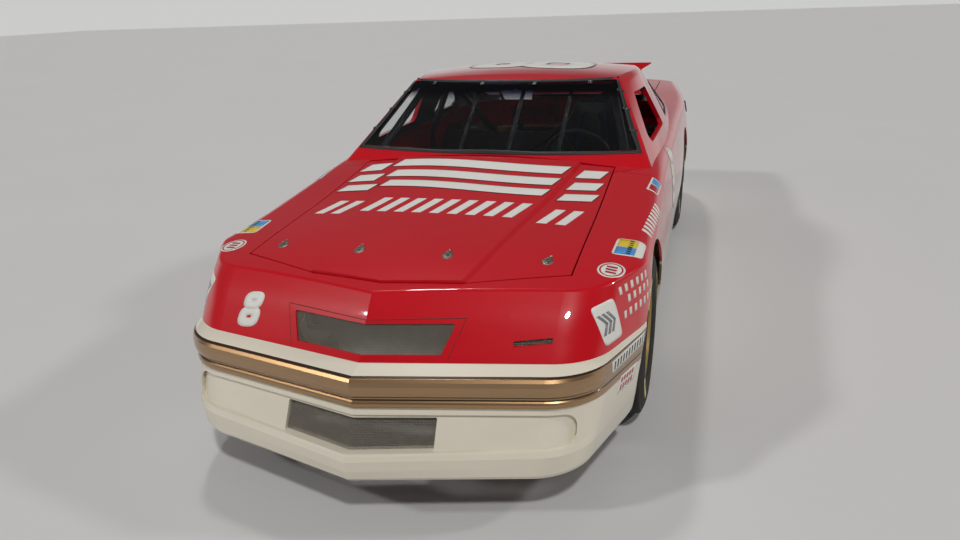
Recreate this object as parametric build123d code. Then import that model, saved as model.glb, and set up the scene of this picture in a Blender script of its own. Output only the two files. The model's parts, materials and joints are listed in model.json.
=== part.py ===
from build123d import *
import os
from math import radians, sin, cos, tan, sqrt, pi

# A 1980s closed-roof stock racing car. Millimetres, +X is the car's left, the nose looks along -Y, +Z is up.
# The origin is on the floor, under the middle of the car's length. A station is a distance back from the
# upper nose, and the lower lip reaches ahead of station 0.

# Driving dimensions
LENGTH = 5160
NOSE_REACH = 80
REAR_BAND_PROUD = 12
WHEELBASE = 2794
FRONT_AXLE = 990
HALF_WIDTH = 925
TRACK = 1536
TYRE_RADIUS = 350
TYRE_WIDTH = 286
RIM_RADIUS = 203
SKIN = 10
GROUND_CLEARANCE = 125
PANEL_GAP = 5
KINGPIN_X = 710

TAIL = LENGTH - NOSE_REACH - REAR_BAND_PROUD
REAR_AXLE = FRONT_AXLE + WHEELBASE
WHEEL_X = TRACK / 2
ARCH_RADIUS = TYRE_RADIUS + 42

# Heights of the horizontal bands round the nose
LIP_LOW, LIP_TOP = 178, 290
RECESS_LOW, RECESS_HIGH = 284, 392
MOUTH_HIGH = 380
STRIP_LOW, STRIP_HIGH = 413, 441
BAND_LOW, BAND_HIGH = 455, 523
LEDGE_HIGH = 545

# Plan of the nose: a shallow V whose corners are rounded
NOSE_SWEEP = 0.215
CORNER_INSET = 150
CORNER_RADIUS = 250
FLARE_STATION = 640
FLARE_RADIUS = 520
SIDE_END = 4150
TAIL_CORNER = 5015
TAIL_INSET = 75
TAIL_RADIUS = 190
REAR_FLARE_RADIUS = 1500

# Panel splits, as stations and heights
NOSE_SPLIT = 592
DOOR_FRONT, DOOR_REAR = 1640, 2900
SKIRT_TOP = 215
TAIL_SPLIT = 4931
HOOD_FRONT, HOOD_FRONT_CORNER, HOOD_REAR = 322, 512, 1690
HOOD_HALF = 655
DECK_FRONT, DECK_REAR, DECK_HALF = 4185, 4925, 640
HOOD_REAR_GAP, DECK_FRONT_GAP = 22, 12
BULGE_FRONT_HALF, BULGE_RISE = 292, 16


def y_of(station):
    """The Y of a station, which is measured back from the upper nose."""
    return station + NOSE_REACH - LENGTH / 2


def block(x0, x1, s0, s1, z0, z1):
    """A box between two X, two stations and two heights."""
    return Pos((x0 + x1) / 2, y_of((s0 + s1) / 2), (z0 + z1) / 2) * Box(
        abs(x1 - x0), abs(s1 - s0), abs(z1 - z0)
    )


def both(shape):
    """A shape and its mirror image across the car's centre plane."""
    return [shape, mirror(shape, about=Plane.YZ)]


def rod(start, end, radius):
    """A round bar between two points given as (x, station, z)."""
    low, high = (Vector(x, y_of(s), z) for x, s, z in (start, end))
    return extrude(Plane(low, z_dir=high - low) * Circle(radius), (high - low).length)


def rods(runs, radius):
    """Round bars, one for each pair of neighbouring points in each run, joined into one shape."""
    return fuse_all([rod(p, q, radius) for run in runs for p, q in zip(run, run[1:])])


def fuse_all(pieces):
    """One shape from several that overlap."""
    whole = pieces[0]
    for piece in pieces[1:]:
        whole = whole + piece
    return whole


def side_prism(points, x0, x1, radius=None):
    """An outline in the side view, as (station, z), carried across from x0 to x1."""
    flat = [(y_of(s), z) for s, z in points]
    face = make_face(Polyline(*flat, close=True))
    if radius:
        face = fillet(face.vertices(), radius)
    return extrude(Plane(origin=(x0, 0, 0), x_dir=(0, 1, 0), z_dir=(1, 0, 0)) * face, x1 - x0)


def group(*shapes):
    """Several shapes kept as separate solids of one piece."""
    return Compound(children=[solid for shape in shapes for solid in shape.solids()])


def front_prism(points, s0, s1, radius=None):
    """An outline in the front view, as (x, z), carried back from station s0 to s1."""
    face = make_face(Polyline(*points, close=True))
    if radius:
        face = fillet(face.vertices(), radius)
    plane = Plane(origin=(0, y_of(s1), 0), x_dir=(1, 0, 0), z_dir=(0, -1, 0))
    return extrude(plane * face, s1 - s0)


def plan_prism(points, z0, z1):
    """An outline in plan, as (x, station), carried up from z0 to z1."""
    face = make_face(Polyline(*[(x, y_of(s)) for x, s in points], close=True))
    return extrude(Pos(0, 0, z0) * face, z1 - z0)


def side_tuck(z):
    """How far the body side stands in from its widest line at a height, by a circle's formula."""
    widest, reach = 540, 1500
    return reach - sqrt(reach**2 - (z - widest) ** 2)


def rounded_line(points, radii):
    """The edges of an open run of straight lines whose corners are rounded by tangent arcs."""
    spots = [Vector(x, y_of(s)) for x, s in points]
    edges, start = [], spots[0]
    for before, corner, after, radius in zip(spots, spots[1:], spots[2:], radii):
        way_in, way_out = (before - corner).normalized(), (after - corner).normalized()
        half_angle = radians(way_in.get_angle(way_out)) / 2
        reach = radius / tan(half_angle)
        middle = (way_in + way_out).normalized() * (radius / sin(half_angle) - radius)
        edges.append(Line(start, corner + way_in * reach))
        edges.append(ThreePointArc(corner + way_in * reach, corner + middle, corner + way_out * reach))
        start = corner + way_out * reach
    return edges + [Line(start, spots[-1])]


def plan_face(z, nose, inset=0.0, corner=0.0, sweep=NOSE_SWEEP):
    """The car's plan outline at height z. nose is the centre's station, corner an added set-back."""
    half = HALF_WIDTH - side_tuck(z) - inset
    knee = half - CORNER_INSET
    points = [
        (0, nose + inset),
        (knee, nose + inset + knee * sweep + corner),
        (half, FLARE_STATION + inset + corner * 1.3),
        (half, SIDE_END - inset),
        (half - TAIL_INSET, TAIL_CORNER - inset),
        (0, TAIL - inset),
    ]
    radii = [CORNER_RADIUS - inset / 2, FLARE_RADIUS - corner * 4, REAR_FLARE_RADIUS, TAIL_RADIUS]
    right = [e for part in rounded_line(points, radii) for e in part.edges()]
    left = [mirror(e, about=Plane.YZ) for e in right]
    return Pos(0, 0, z) * make_face([*right, *left])


# Body top, by station: height on the centre line, height 640 mm out, half-width at the shoulder's height
TOP_ROWS = (
    # station, centre, 640 mm out, shoulder half-width
    (-60, 706, 686, 1030),
    (240, 748, 728, 1010),
    (366, 761, 744, 980),
    (560, 785, 768, 935),
    (1000, 823, 808, 899),
    (1400, 870, 852, 899),
    (1750, 926, 899, 899),
    (2300, 948, 916, 899),
    (2900, 952, 920, 899),
    (3500, 958, 927, 899),
    (4100, 966, 937, 899),
    (4620, 975, 948, 861),
    (5140, 982, 957, 812),
)
HOOD_EDGE_X = 640
SHOULDER_RADIUS = 90
SHOULDER_Z = 820
SHOULDER_SLOPE = 0.19


def crown_face(station, centre, edge, half, drop, radius):
    """A cross-section of the space under the body's top: a crowned arc, round shoulders, leaning sides."""
    fall = (centre - edge) / HOOD_EDGE_X**2
    rim = half - SHOULDER_SLOPE * (centre - fall * half**2 - drop - SHOULDER_Z)
    low = centre - fall * rim**2 - drop
    foot = half + SHOULDER_SLOPE * (SHOULDER_Z + 60)
    arc = ThreePointArc((-rim, low), (0, centre - drop), (rim, low))
    sides = Polyline((rim, low), (foot, -60), (-foot, -60), (-rim, low))
    face = make_face([*arc.edges(), *sides.edges()])
    face = fillet([v for v in face.vertices() if v.Y > 0], radius)
    return Plane(origin=(0, y_of(station), 0), x_dir=(1, 0, 0), z_dir=(0, -1, 0)) * face


def under_top(drop=0.0, inset=0.0):
    """The space under the body's top surface, lowered by drop."""
    faces = [crown_face(s, c, e, w - inset, drop, SHOULDER_RADIUS - drop) for s, c, e, w in TOP_ROWS]
    return loft(faces)


# The header panel above the ledge leans back until the body's top cuts it at the bend
HEADER_ROWS = (
    # height, nose station, corner set-back
    (LEDGE_HIGH, 95, 10),
    (600, 131, 16),
    (660, 172, 22),
    (705, 208, 28),
    (760, 256, 34),
    (1000, 320, 40),
)
HEADER_SWEEP = 0.19


# The nose's part of the same body below the ledge, which only steadies the loft
SIDE_ROWS = (
    (330, 60, 5),
    (455, 78, 8),
)
BEND_RADIUS = 22
BEND_CUT = 500
JOIN = 800


def nose_body(inset=0.0):
    """The body above the ledge ahead of JOIN, rounded where the header panel bends into the hood."""
    rows = [plan_face(z, n, inset, c, HEADER_SWEEP) for z, n, c in SIDE_ROWS + HEADER_ROWS]
    body = loft(rows) & block(-1200, 1200, -200, JOIN + (10 if inset else 0), BEND_CUT, 1200)
    body = body & under_top(inset, inset)
    if inset:
        return body
    half = body & block(0, 1200, -200, JOIN, BEND_CUT, 1200)
    middles = [(e, e.center()) for e in half.edges()]
    bend = [e for e, middle in middles if middle.X > 1 and middle.Y < y_of(560) and middle.Z > 690]
    half = fillet(bend, BEND_RADIUS)
    return half + mirror(half, about=Plane.YZ)


def main_body(inset=0.0):
    """The body behind JOIN."""
    low = GROUND_CLEARANCE - (20 if inset else 0)
    body = loft([plan_face(z, 20, inset) for z in (low, 330, 545, 760, 1010)])
    return body & block(-1200, 1200, JOIN - (10 if inset else 0), 5300, 0, 1200) & under_top(inset, inset)


# The bumper cover below the ledge: a lip well ahead of the upper nose, and a face that leans forward to it
COVER_FACE = 26
BUMPER_ROWS = (
    # height, nose station, sweep
    (LIP_LOW, -58, 0.26),
    (194, -74, 0.27),
    (225, -NOSE_REACH, 0.28),
    (262, -NOSE_REACH, 0.28),
    (278, -72, 0.28),
    (LIP_TOP, -58, 0.27),
    (RECESS_HIGH, 12, 0.225),
    (STRIP_LOW, COVER_FACE, NOSE_SWEEP),
    (BAND_HIGH, COVER_FACE, NOSE_SWEEP),
)
SHELF_FRONT = 22


def bumper_stack(inset=0.0):
    """The nose below the ledge."""
    rows = [plan_face(z, n, inset, 0, sweep) for z, n, sweep in BUMPER_ROWS]
    if inset:
        low, nose, sweep = BUMPER_ROWS[0]
        rows = [plan_face(low - 20, nose, inset, 0, sweep)] + rows
    return loft(rows, ruled=True)


def shelf_stack(inset=0.0):
    """The ledge between the bumper's band and the header panel."""
    low = plan_face(BAND_HIGH, SHELF_FRONT, inset)
    high = plan_face(LEDGE_HIGH, HEADER_ROWS[0][1], inset, HEADER_ROWS[0][2], HEADER_SWEEP)
    return loft([low, high], ruled=True)


# Rounded section of the mouldings: share of the height, share of how far it stands proud
MOULDING_SECTION = (
    (0.0, 0.40),
    (0.12, 0.80),
    (0.36, 1.0),
    (0.64, 0.96),
    (0.86, 0.70),
    (1.0, 0.30),
)


def nose_moulding(low, high, proud):
    """A rounded moulding round the nose, between two heights, standing proud of the cover behind it."""
    rows = [plan_face(low + (high - low) * up, COVER_FACE - proud * out) for up, out in MOULDING_SECTION]
    return loft(rows, ruled=True) & zone(AHEAD, NOSE_SPLIT)


def tail_moulding(low, high, proud):
    """The same moulding round the tail."""
    rows = [plan_face(low + (high - low) * up, 0, -proud * out) for up, out in MOULDING_SECTION]
    return loft(rows, ruled=True) & zone(TAIL_SPLIT + 24, BEHIND)


# Greenhouse: the upper body, from the belt to the roof
GLASS_ROWS = (
    # height, screen centre, screen corner x, station, side x, rear corner x, station, rear centre
    (860, 1600, 842, 1712, 860, 775, 4030, 4120),
    (1232, 2140, 615, 2240, 676, 592, 3215, 3290),
)
ROOF_CROWN = (
    # station, centre height, height at 550 mm out
    (1300, 1130, 1110),
    (1800, 1200, 1180),
    (2170, 1270, 1250),
    (2400, 1293, 1271),
    (2700, 1301, 1276),
    (3000, 1292, 1267),
    (3250, 1262, 1238),
    (3600, 1200, 1180),
    (4400, 1080, 1060),
)
ROOF_ROLL = (
    # height, set-in all round
    (1232, 0),
    (1248, 2),
    (1261, 12),
    (1272, 34),
    (1284, 78),
    (1316, 210),
)
PILLAR_CORNER = 42
ROOF_THICK = 28


def glass_row(z):
    """The greenhouse's plan sizes at a height, in line between its two rows."""
    low, high = GLASS_ROWS
    share = (z - low[0]) / (high[0] - low[0])
    return [a + (b - a) * share for a, b in zip(low[1:], high[1:])]


def glass_face(z, inset):
    """The greenhouse's plan outline at a height."""
    front, fx, fs, sx, rx, rs, rear = glass_row(z)
    corner, back = (fx - inset, y_of(fs + inset)), (rx - inset, y_of(rs - inset))
    screen = ThreePointArc((-corner[0], corner[1]), (0, y_of(front + inset)), corner)
    left = ThreePointArc(corner, (sx - inset, y_of((fs + rs) / 2)), back)
    tail = ThreePointArc(back, (0, y_of(rear - inset)), (-back[0], back[1]))
    right = ThreePointArc((-back[0], back[1]), (inset - sx, y_of((fs + rs) / 2)), (-corner[0], corner[1]))
    face = make_face([*screen.edges(), *left.edges(), *tail.edges(), *right.edges()])
    return Pos(0, 0, z) * fillet(face.vertices(), PILLAR_CORNER)


def roof_space(drop):
    """The space under the roof's crown, lowered by drop."""
    faces = []
    for station, centre, edge in ROOF_CROWN:
        low = centre - (centre - edge) * (1000 / 550) ** 2
        arc = ThreePointArc((-1000, low - drop), (0, centre - drop), (1000, low - drop))
        walls = Polyline((1000, low - drop), (1000, 300), (-1000, 300), (-1000, low - drop))
        face = make_face([*arc.edges(), *walls.edges()])
        faces.append(Plane(origin=(0, y_of(station), 0), x_dir=(1, 0, 0), z_dir=(0, -1, 0)) * face)
    return loft(faces)


def greenhouse(inset=0.0, low=GLASS_ROWS[0][0]):
    """The upper body's outside, or the same shape set in all round."""
    walls = loft([glass_face(low, inset), glass_face(ROOF_ROLL[0][0], inset)], ruled=True)
    roll = loft([glass_face(z, inset + back) for z, back in ROOF_ROLL])
    return (walls + roll) & roof_space(inset)


# Openings for the glass
SCREEN_OPENING = ((-762, 948), (762, 948), (588, 1254), (-588, 1254))
REAR_OPENING = ((-612, 985), (612, 985), (512, 1226), (-512, 1226))
DOOR_WINDOW = ((2020, 948), (2330, 1180), (2660, 1175), (2710, 948))
QUARTER_WINDOW = ((3040, 950), (3040, 1152), (3150, 1150), (3500, 955))
WINDOW_CORNER, SCREEN_CORNER = 28, 12


def cabin_space():
    """The room inside the greenhouse, carried straight down through the body's top."""
    room = glass_face(GLASS_ROWS[0][0], ROOF_THICK)
    return greenhouse(ROOF_THICK) + loft([Pos(0, 0, -80) * room, room], ruled=True)


def disc_x(radius, x0, x1, station, z):
    """A round bar or hole along X."""
    plane = Plane(origin=(x0, y_of(station), z), x_dir=(0, 1, 0), z_dir=(1, 0, 0))
    return extrude(plane * Circle(radius), x1 - x0)


def hood_outline(gap=0.0):
    """The hood's plan, grown by gap."""
    half = HOOD_HALF + gap
    return [(0, HOOD_FRONT - gap), (BULGE_FRONT_HALF, 366 - gap), (half, HOOD_FRONT_CORNER - gap),
            (half, HOOD_REAR + (HOOD_REAR_GAP if gap else 0)),
            (-half, HOOD_REAR + (HOOD_REAR_GAP if gap else 0)),
            (-half, HOOD_FRONT_CORNER - gap), (-BULGE_FRONT_HALF, 366 - gap)]


def deck_outline(gap=0.0):
    """The deck lid's plan, grown by gap."""
    half, front = DECK_HALF + gap, DECK_FRONT - (DECK_FRONT_GAP if gap else 0)
    return [(-half, front), (half, front), (half, DECK_REAR + gap), (-half, DECK_REAR + gap)]


# Raised centre of the hood, by station
BULGE_ROWS = (
    # station, half-width, rise
    (300, 280, 5),
    (420, 303, 14),
    (800, 356, BULGE_RISE),
    (1300, 428, BULGE_RISE),
    (1710, 484, BULGE_RISE),
)


def top_at(station, x=0.0):
    """The height of the body's top at a station, and at x out from the centre."""
    for (s0, c0, e0, _), (s1, c1, e1, _) in zip(TOP_ROWS, TOP_ROWS[1:]):
        if s0 <= station <= s1:
            share = (station - s0) / (s1 - s0)
            centre, edge = c0 + (c1 - c0) * share, e0 + (e1 - e0) * share
            return centre - (centre - edge) * (x / HOOD_EDGE_X) ** 2
    raise ValueError("station is off the body")


def bulge():
    """The hood's raised centre, whose sides slope and spread toward the windscreen."""
    faces = []
    for station, half, rise in BULGE_ROWS:
        foot, rim = half + 20, top_at(station, half)
        arc = ThreePointArc((-half, rim + rise), (0, top_at(station) + rise), (half, rim + rise))
        walls = Polyline((half, rim + rise), (foot, rim - 8), (-foot, rim - 8), (-half, rim + rise))
        face = make_face([*arc.edges(), *walls.edges()])
        faces.append(Plane(origin=(0, y_of(station), 0), x_dir=(1, 0, 0), z_dir=(0, -1, 0)) * face)
    return loft(faces)


def wheel_wells():
    """The four round wells that the wheels turn in."""
    wells = []
    for axle in (FRONT_AXLE, REAR_AXLE):
        wells += both(disc_x(ARCH_RADIUS, 470, 1100, axle, TYRE_RADIUS))
    return fuse_all(wells)


# Hinges of the hood and the deck lid: station and height of the pins' line
HOOD_HINGE = (HOOD_REAR - 200, 852)
DECK_HINGE = (DECK_FRONT + 100, 938)
HINGE_X = 150
HINGE_PIN = 6
PIN_FIT = 0.05


def hinge_ears(station, height, top):
    """Pairs of ears with a pin between them, hanging under a lid."""
    parts = []
    for x in (-HINGE_X, HINGE_X):
        parts.append(block(x - 22, x - 13, station - 10, station + 10, height - 8, top))
        parts.append(block(x + 13, x + 22, station - 10, station + 10, height - 8, top))
        parts.append(disc_x(HINGE_PIN, x - 22, x + 22, station, height))
    return parts


def hinge_lugs(station, height, low):
    """The fixed lugs that the lid's pins turn in."""
    lugs = []
    for x in (-HINGE_X, HINGE_X):
        lug = block(x - 8, x + 8, station - 8, station + 8, low, height)
        lug = lug + disc_x(8, x - 8, x + 8, station, height)
        lugs.append(lug - disc_x(HINGE_PIN + PIN_FIT, x - 9, x + 9, station, height))
    return lugs


DOOR_THICK = 58
SEAM_WIDTH, SEAM_DEPTH = 4, 6
FASCIA_THICK = 50
AHEAD, BEHIND = -200, 5300
LAMP_OUTLINE = ((330, 618), (725, 618), (745, 735), (330, 735))
LAMP_SUNK, LAMP_DEPTH, LAMP_GAP = 2, 8, 0.3


def grown(outline, amount):
    """An outline of four corners moved out from its middle by an amount each way."""
    middle_x, middle_z = (sum(p[k] for p in outline) / len(outline) for k in (0, 1))
    return [(x + (amount if x > middle_x else -amount), z + (amount if z > middle_z else -amount))
            for x, z in outline]


def zone(s0, s1, z0=0, z1=1400, x0=-1200, x1=1200):
    """A box used to take one panel out of the body."""
    return block(x0, x1, s0, s1, z0, z1)


def make_panels():
    """Every outside panel, by name."""
    panels = {}
    wells = wheel_wells()
    cabin = cabin_space()
    hood_hole = plan_prism(hood_outline(PANEL_GAP + 1), 640, 1100)
    nose_skin = nose_body() - nose_body(SKIN)
    outer = main_body()
    skin = outer - main_body(SKIN)

    # Bumper cover: lip, recess, strip and band
    cover = bumper_stack() + nose_moulding(BAND_LOW, BAND_HIGH, 20) + nose_moulding(STRIP_LOW, STRIP_HIGH, 11)
    cover = (cover + shelf_stack()) & zone(AHEAD, FASCIA_END)
    hollow = (bumper_stack(FASCIA_THICK) + shelf_stack(FASCIA_THICK)) & zone(AHEAD, FASCIA_END + 1)
    outline = [(-735, RECESS_LOW), (735, RECESS_LOW), (735, RECESS_HIGH), (-735, RECESS_HIGH)]
    recess = front_prism(outline, AHEAD, 330, 44) & (bumper_stack(-4) - bumper_stack(RECESS_DEPTH))
    corner = MOUTH_HALF
    outline = [(-corner, RECESS_LOW), (corner, RECESS_LOW), (corner, MOUTH_HIGH), (-corner, MOUTH_HIGH)]
    mouth = front_prism(outline, AHEAD, 330, 6)
    panels["front_fascia"] = cover - hollow - recess - mouth - wells
    panels["lower_grille"] = (bumper_stack(GRILLE_DEPTH) - bumper_stack(GRILLE_DEPTH + 4)) & mouth

    # Header panel, between the ledge and the hood
    header = nose_skin & zone(AHEAD, NOSE_SPLIT, LEDGE_HIGH)
    upper_mouth = front_prism(UPPER_MOUTH, 50, 300, 8)
    slot = front_prism(DUCT_SLOT, 100, 420, 6)
    panels["header_panel"] = header - hood_hole - upper_mouth - slot
    rows = [plan_face(z, n, 6, c, HEADER_SWEEP) for z, n, c in HEADER_ROWS]
    back = [plan_face(z, n, 9.5, c, HEADER_SWEEP) for z, n, c in HEADER_ROWS]
    panels["upper_grille"] = (loft(rows) - loft(back)) & (upper_mouth + slot)

    # Fenders, doors, quarters and rockers
    front = (nose_skin & zone(NOSE_SPLIT, JOIN, LEDGE_HIGH, x0=300)) - hood_hole - wells
    back = (skin & zone(JOIN, DOOR_FRONT, x0=300)) - hood_hole - wells
    panels["left_fender"] = group(front, back)
    sides = (outer - main_body(DOOR_THICK)) & zone(DOOR_FRONT, DOOR_REAR, x0=600)
    seam = (outer - main_body(SEAM_DEPTH)) & fuse_all([
        zone(DOOR_FRONT, DOOR_FRONT + SEAM_WIDTH, SKIRT_TOP, x0=600),
        zone(DOOR_REAR - SEAM_WIDTH, DOOR_REAR, SKIRT_TOP, x0=600),
        zone(DOOR_FRONT, DOOR_REAR, SKIRT_TOP, SKIRT_TOP + SEAM_WIDTH, x0=600),
    ])
    panels["left_door"] = (sides & zone(0, 5000, SKIRT_TOP)) - cabin - hood_hole - seam
    panels["left_rocker"] = sides & zone(0, 5000, 0, SKIRT_TOP)
    quarter = skin & zone(DOOR_REAR, TAIL_SPLIT, x0=DECK_HALF + PANEL_GAP + 1)
    panels["left_quarter"] = quarter - wells - cabin
    for name in ("fender", "door", "quarter", "rocker"):
        panels["right_" + name] = mirror(panels["left_" + name], about=Plane.YZ)

    # Panels across the car, before and behind the cabin
    sheet = under_top() - under_top(SKIN)
    panels["cowl_panel"] = (sheet & zone(HOOD_REAR + HOOD_REAR_GAP, 2000, 800, x0=-820, x1=820)) - cabin
    panels["cowl_panel"] = panels["cowl_panel"] - panels["left_door"] - panels["right_door"]
    half = DECK_HALF + PANEL_GAP + 1
    behind_glass = zone(3700, DECK_FRONT - DECK_FRONT_GAP, 800, x0=-half, x1=half)
    panels["rear_deck_panel"] = (sheet & behind_glass) - cabin
    tail = (outer + tail_moulding(BAND_LOW, BAND_HIGH, REAR_BAND_PROUD)) - main_body(SKIN)
    lamps = fuse_all(both(front_prism(LAMP_OUTLINE, TAIL_SPLIT, BEHIND, 14)))
    lenses = fuse_all(both(front_prism(grown(LAMP_OUTLINE, -LAMP_GAP), TAIL_SPLIT, BEHIND, 14)))
    panels["rear_fascia"] = (tail & zone(TAIL_SPLIT, BEHIND)) - lamps
    panels["tail_lamps"] = (main_body(LAMP_SUNK) - main_body(LAMP_DEPTH)) & lenses & zone(TAIL_SPLIT, BEHIND)
    panels["hood"] = hood_panel()
    panels["deck_lid"] = deck_panel()
    return panels


UPPER_MOUTH = [(-272, 567), (272, 567), (310, 658), (-310, 658)]
DUCT_SLOT = [(508, 592), (638, 602), (638, 619), (508, 609)]
FASCIA_END = 700
RECESS_DEPTH = 12
GRILLE_DEPTH = 22
MOUTH_HALF = 281
LID_THICK = 14


def hood_panel():
    """The hood: a sheet with a raised centre and two pairs of hinge ears."""
    prism = plan_prism(hood_outline(), 640, 1100)
    sheet = (under_top() & prism) - under_top(LID_THICK)
    return fuse_all([sheet, bulge() & prism, *hinge_ears(*HOOD_HINGE, 876)])


def deck_panel():
    """The deck lid: a sheet with two pairs of hinge ears under its front edge."""
    sheet = (under_top() & plan_prism(deck_outline(), 700, 1200)) - under_top(LID_THICK)
    return fuse_all([sheet, *hinge_ears(*DECK_HINGE, 956)])


# Chassis
RAIL_X = (400, 470)
SILL_X = (690, 766)
FLOOR_Z = 190
SEAT_FIT = 0.3
FIREWALL = 1716
REAR_WALL = 3480
TUNNEL_HALF, TUNNEL_TOP = 150, 425
BEAM_Z = 700
DECK_BEAM_Z = 700
ENGINE_HALF = 230
CELL_TOP = 520
FIREWALL_TOP = 805
PIPE_X, PIPE_Z, PIPE_RADIUS = 275, 144, 38


def make_chassis():
    """Frame, floor, cage and the mechanical parts, by name."""
    nodes = {}
    frame = []
    for side in (-1, 1):
        inner, outer = (side * v for v in RAIL_X)
        sill_in, sill_out = (side * v for v in SILL_X)
        rear_in, rear_out = side * 440, side * 510
        frame.append(block(inner, outer, 180, 1560, 230, 310))
        frame.append(block(inner, outer, 930, 1050, 310, 486))
        frame.append(block(inner, sill_out, 1480, 1560, 130, 310))
        frame.append(block(sill_in, sill_out, 1480, 3380, 130, FLOOR_Z))
        frame.append(block(rear_in, sill_out, 3300, 3380, 130, FLOOR_Z))
        frame.append(block(rear_in, rear_out, 3300, 3560, 130, FLOOR_Z))
        frame.append(block(rear_in, rear_out, 3495, 3560, 130, 560))
        frame.append(block(rear_in, rear_out, 3495, 4860, 480, 560))
        frame.append(block(side * 440, side * 480, 4275, 4295, 560, DECK_BEAM_Z + 12))
        frame.append(block(side * ENGINE_HALF, inner, 1250, 1330, 285, 310))
    frame.append(block(-470, 470, 250, 310, 230, 400))
    frame.append(block(-400, 400, 560, 620, 230, 290))
    frame.append(block(-400, 400, 950, 1030, 230, 275))
    frame.append(block(-510, 510, 3500, 3560, 130, FLOOR_Z))
    frame.append(block(-510, 510, 4800, 4860, 480, 560))
    frame.append(block(-440, 440, 4080, 4120, CELL_TOP, 560))
    frame.append(block(-440, 440, 4520, 4560, CELL_TOP, 560))
    frame.append(block(-480, 480, 4275, 4295, DECK_BEAM_Z, DECK_BEAM_Z + 12))
    frame += hinge_lugs(*DECK_HINGE, DECK_BEAM_Z + 6)
    nodes["frame_rails"] = fuse_all(frame)

    # Floor, firewalls and tunnel; the floor's edges seat on the rockers
    floor_half = HALF_WIDTH - side_tuck(FLOOR_Z) - DOOR_THICK - SEAT_FIT
    tunnel = block(-TUNNEL_HALF, TUNNEL_HALF, FIREWALL, REAR_WALL, FLOOR_Z, TUNNEL_TOP)
    bore = block(-TUNNEL_HALF + 5, TUNNEL_HALF - 5, FIREWALL - 5, REAR_WALL + 20, FLOOR_Z - 5, TUNNEL_TOP - 5)
    floor = [
        block(-floor_half, floor_half, 1562, REAR_WALL, FLOOR_Z, FLOOR_Z + 6),
        block(-800, 800, FIREWALL, FIREWALL + 8, FLOOR_Z, FIREWALL_TOP),
        block(-800, 800, REAR_WALL, REAR_WALL + 8, FLOOR_Z, 750),
        tunnel,
        block(-480, 480, 1480, 1500, BEAM_Z, BEAM_Z + 12),
        block(440, 480, 1490, FIREWALL + 4, BEAM_Z, BEAM_Z + 12),
        block(-480, -440, 1490, FIREWALL + 4, BEAM_Z, BEAM_Z + 12),
        *hinge_lugs(*HOOD_HINGE, BEAM_Z + 6),
    ]
    for side in (-1, 1):
        tub = disc_x(ARCH_RADIUS + 14, 590, 872, REAR_AXLE, TYRE_RADIUS)
        tub = tub - disc_x(ARCH_RADIUS + 8, 596, 880, REAR_AXLE, TYRE_RADIUS)
        tub = tub & block(580, 880, REAR_WALL, 4300, 240, 800)
        floor.append(tub if side == 1 else mirror(tub, about=Plane.YZ))
    firewall_port = block(-TUNNEL_HALF + 5, TUNNEL_HALF - 5, 1555, FIREWALL + 10, FLOOR_Z - 5, TUNNEL_TOP - 5)
    wheel_room = disc_x(ARCH_RADIUS + 8, 596, 1000, REAR_AXLE, TYRE_RADIUS)
    room = both(wheel_room + disc_x(60, 560, 600, REAR_AXLE, TYRE_RADIUS))
    nodes["floor_pan"] = fuse_all(floor) - bore - firewall_port - room[0] - room[1]

    # Roll cage
    bars = []
    for side in (-1, 1):
        x, top = side * 700, side * 560
        hoop = [(x, 2790, FLOOR_Z), (x, 2790, 860), (top, 2790, 1202)]
        leg = [(x, 1780, FLOOR_Z), (side * 690, 1905, 900), (top, 2330, 1202), (top, 2788, 1200)]
        doors = [[(x, s, z), (x, 2791, z)] for s, z in ((1810, 360), (1838, 520), (1866, 680))]
        bars += [rods([hoop], 21), rods([leg], 20.5), rods(doors, 19)]
        bars.append(rod((x, 2300, 360), (x, 2300, 680), 18))
        bars.append(rod((top, 2792, 1199), (side * 475, 3900, 560), 20))
    bars.append(rods([[(-560, 2331, 1201), (560, 2331, 1201)], [(-560, 2789, 1201), (560, 2789, 1201)]], 20))
    bars.append(rod((-690, 1904, 899), (690, 1904, 899), 20))
    bars.append(rod((-698, 2790, 240), (558, 2790, 1190), 18))
    bars.append(rod((-699, 2790, 620), (699, 2790, 620), 19))
    cage = fuse_all(bars)
    cage = cage - block(-900, 900, 1700, 3000, 0, FLOOR_Z + 6)
    nodes["roll_cage"] = cage - block(-900, 900, 3300, 4000, 0, 560)

    # Power train
    nodes["engine_block"] = block(-ENGINE_HALF, ENGINE_HALF, 1040, 1560, 280, 690)
    shaft = rod((0, 2150, 300), (0, 3652, 345), 36)
    nodes["driveline"] = block(-95, 95, 1560, 2150, 215, 400) + shaft
    core = block(-330, 330, 562, 618, 290, 690)
    nodes["radiator"] = core
    pipes = [[(x, 1400, 330), (x, 1500, PIPE_Z), (x, 3150, PIPE_Z)] for x in (-PIPE_X, PIPE_X)]
    hangers = [block(x - 12, x + 12, 2300, 2330, PIPE_Z + 20, FLOOR_Z) for x in (-PIPE_X, PIPE_X)]
    nodes["exhaust_pipes"] = fuse_all([rods(pipes, PIPE_RADIUS), *hangers])
    nodes["fuel_cell"] = block(-330, 330, 4040, 4600, 250, CELL_TOP)

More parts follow.
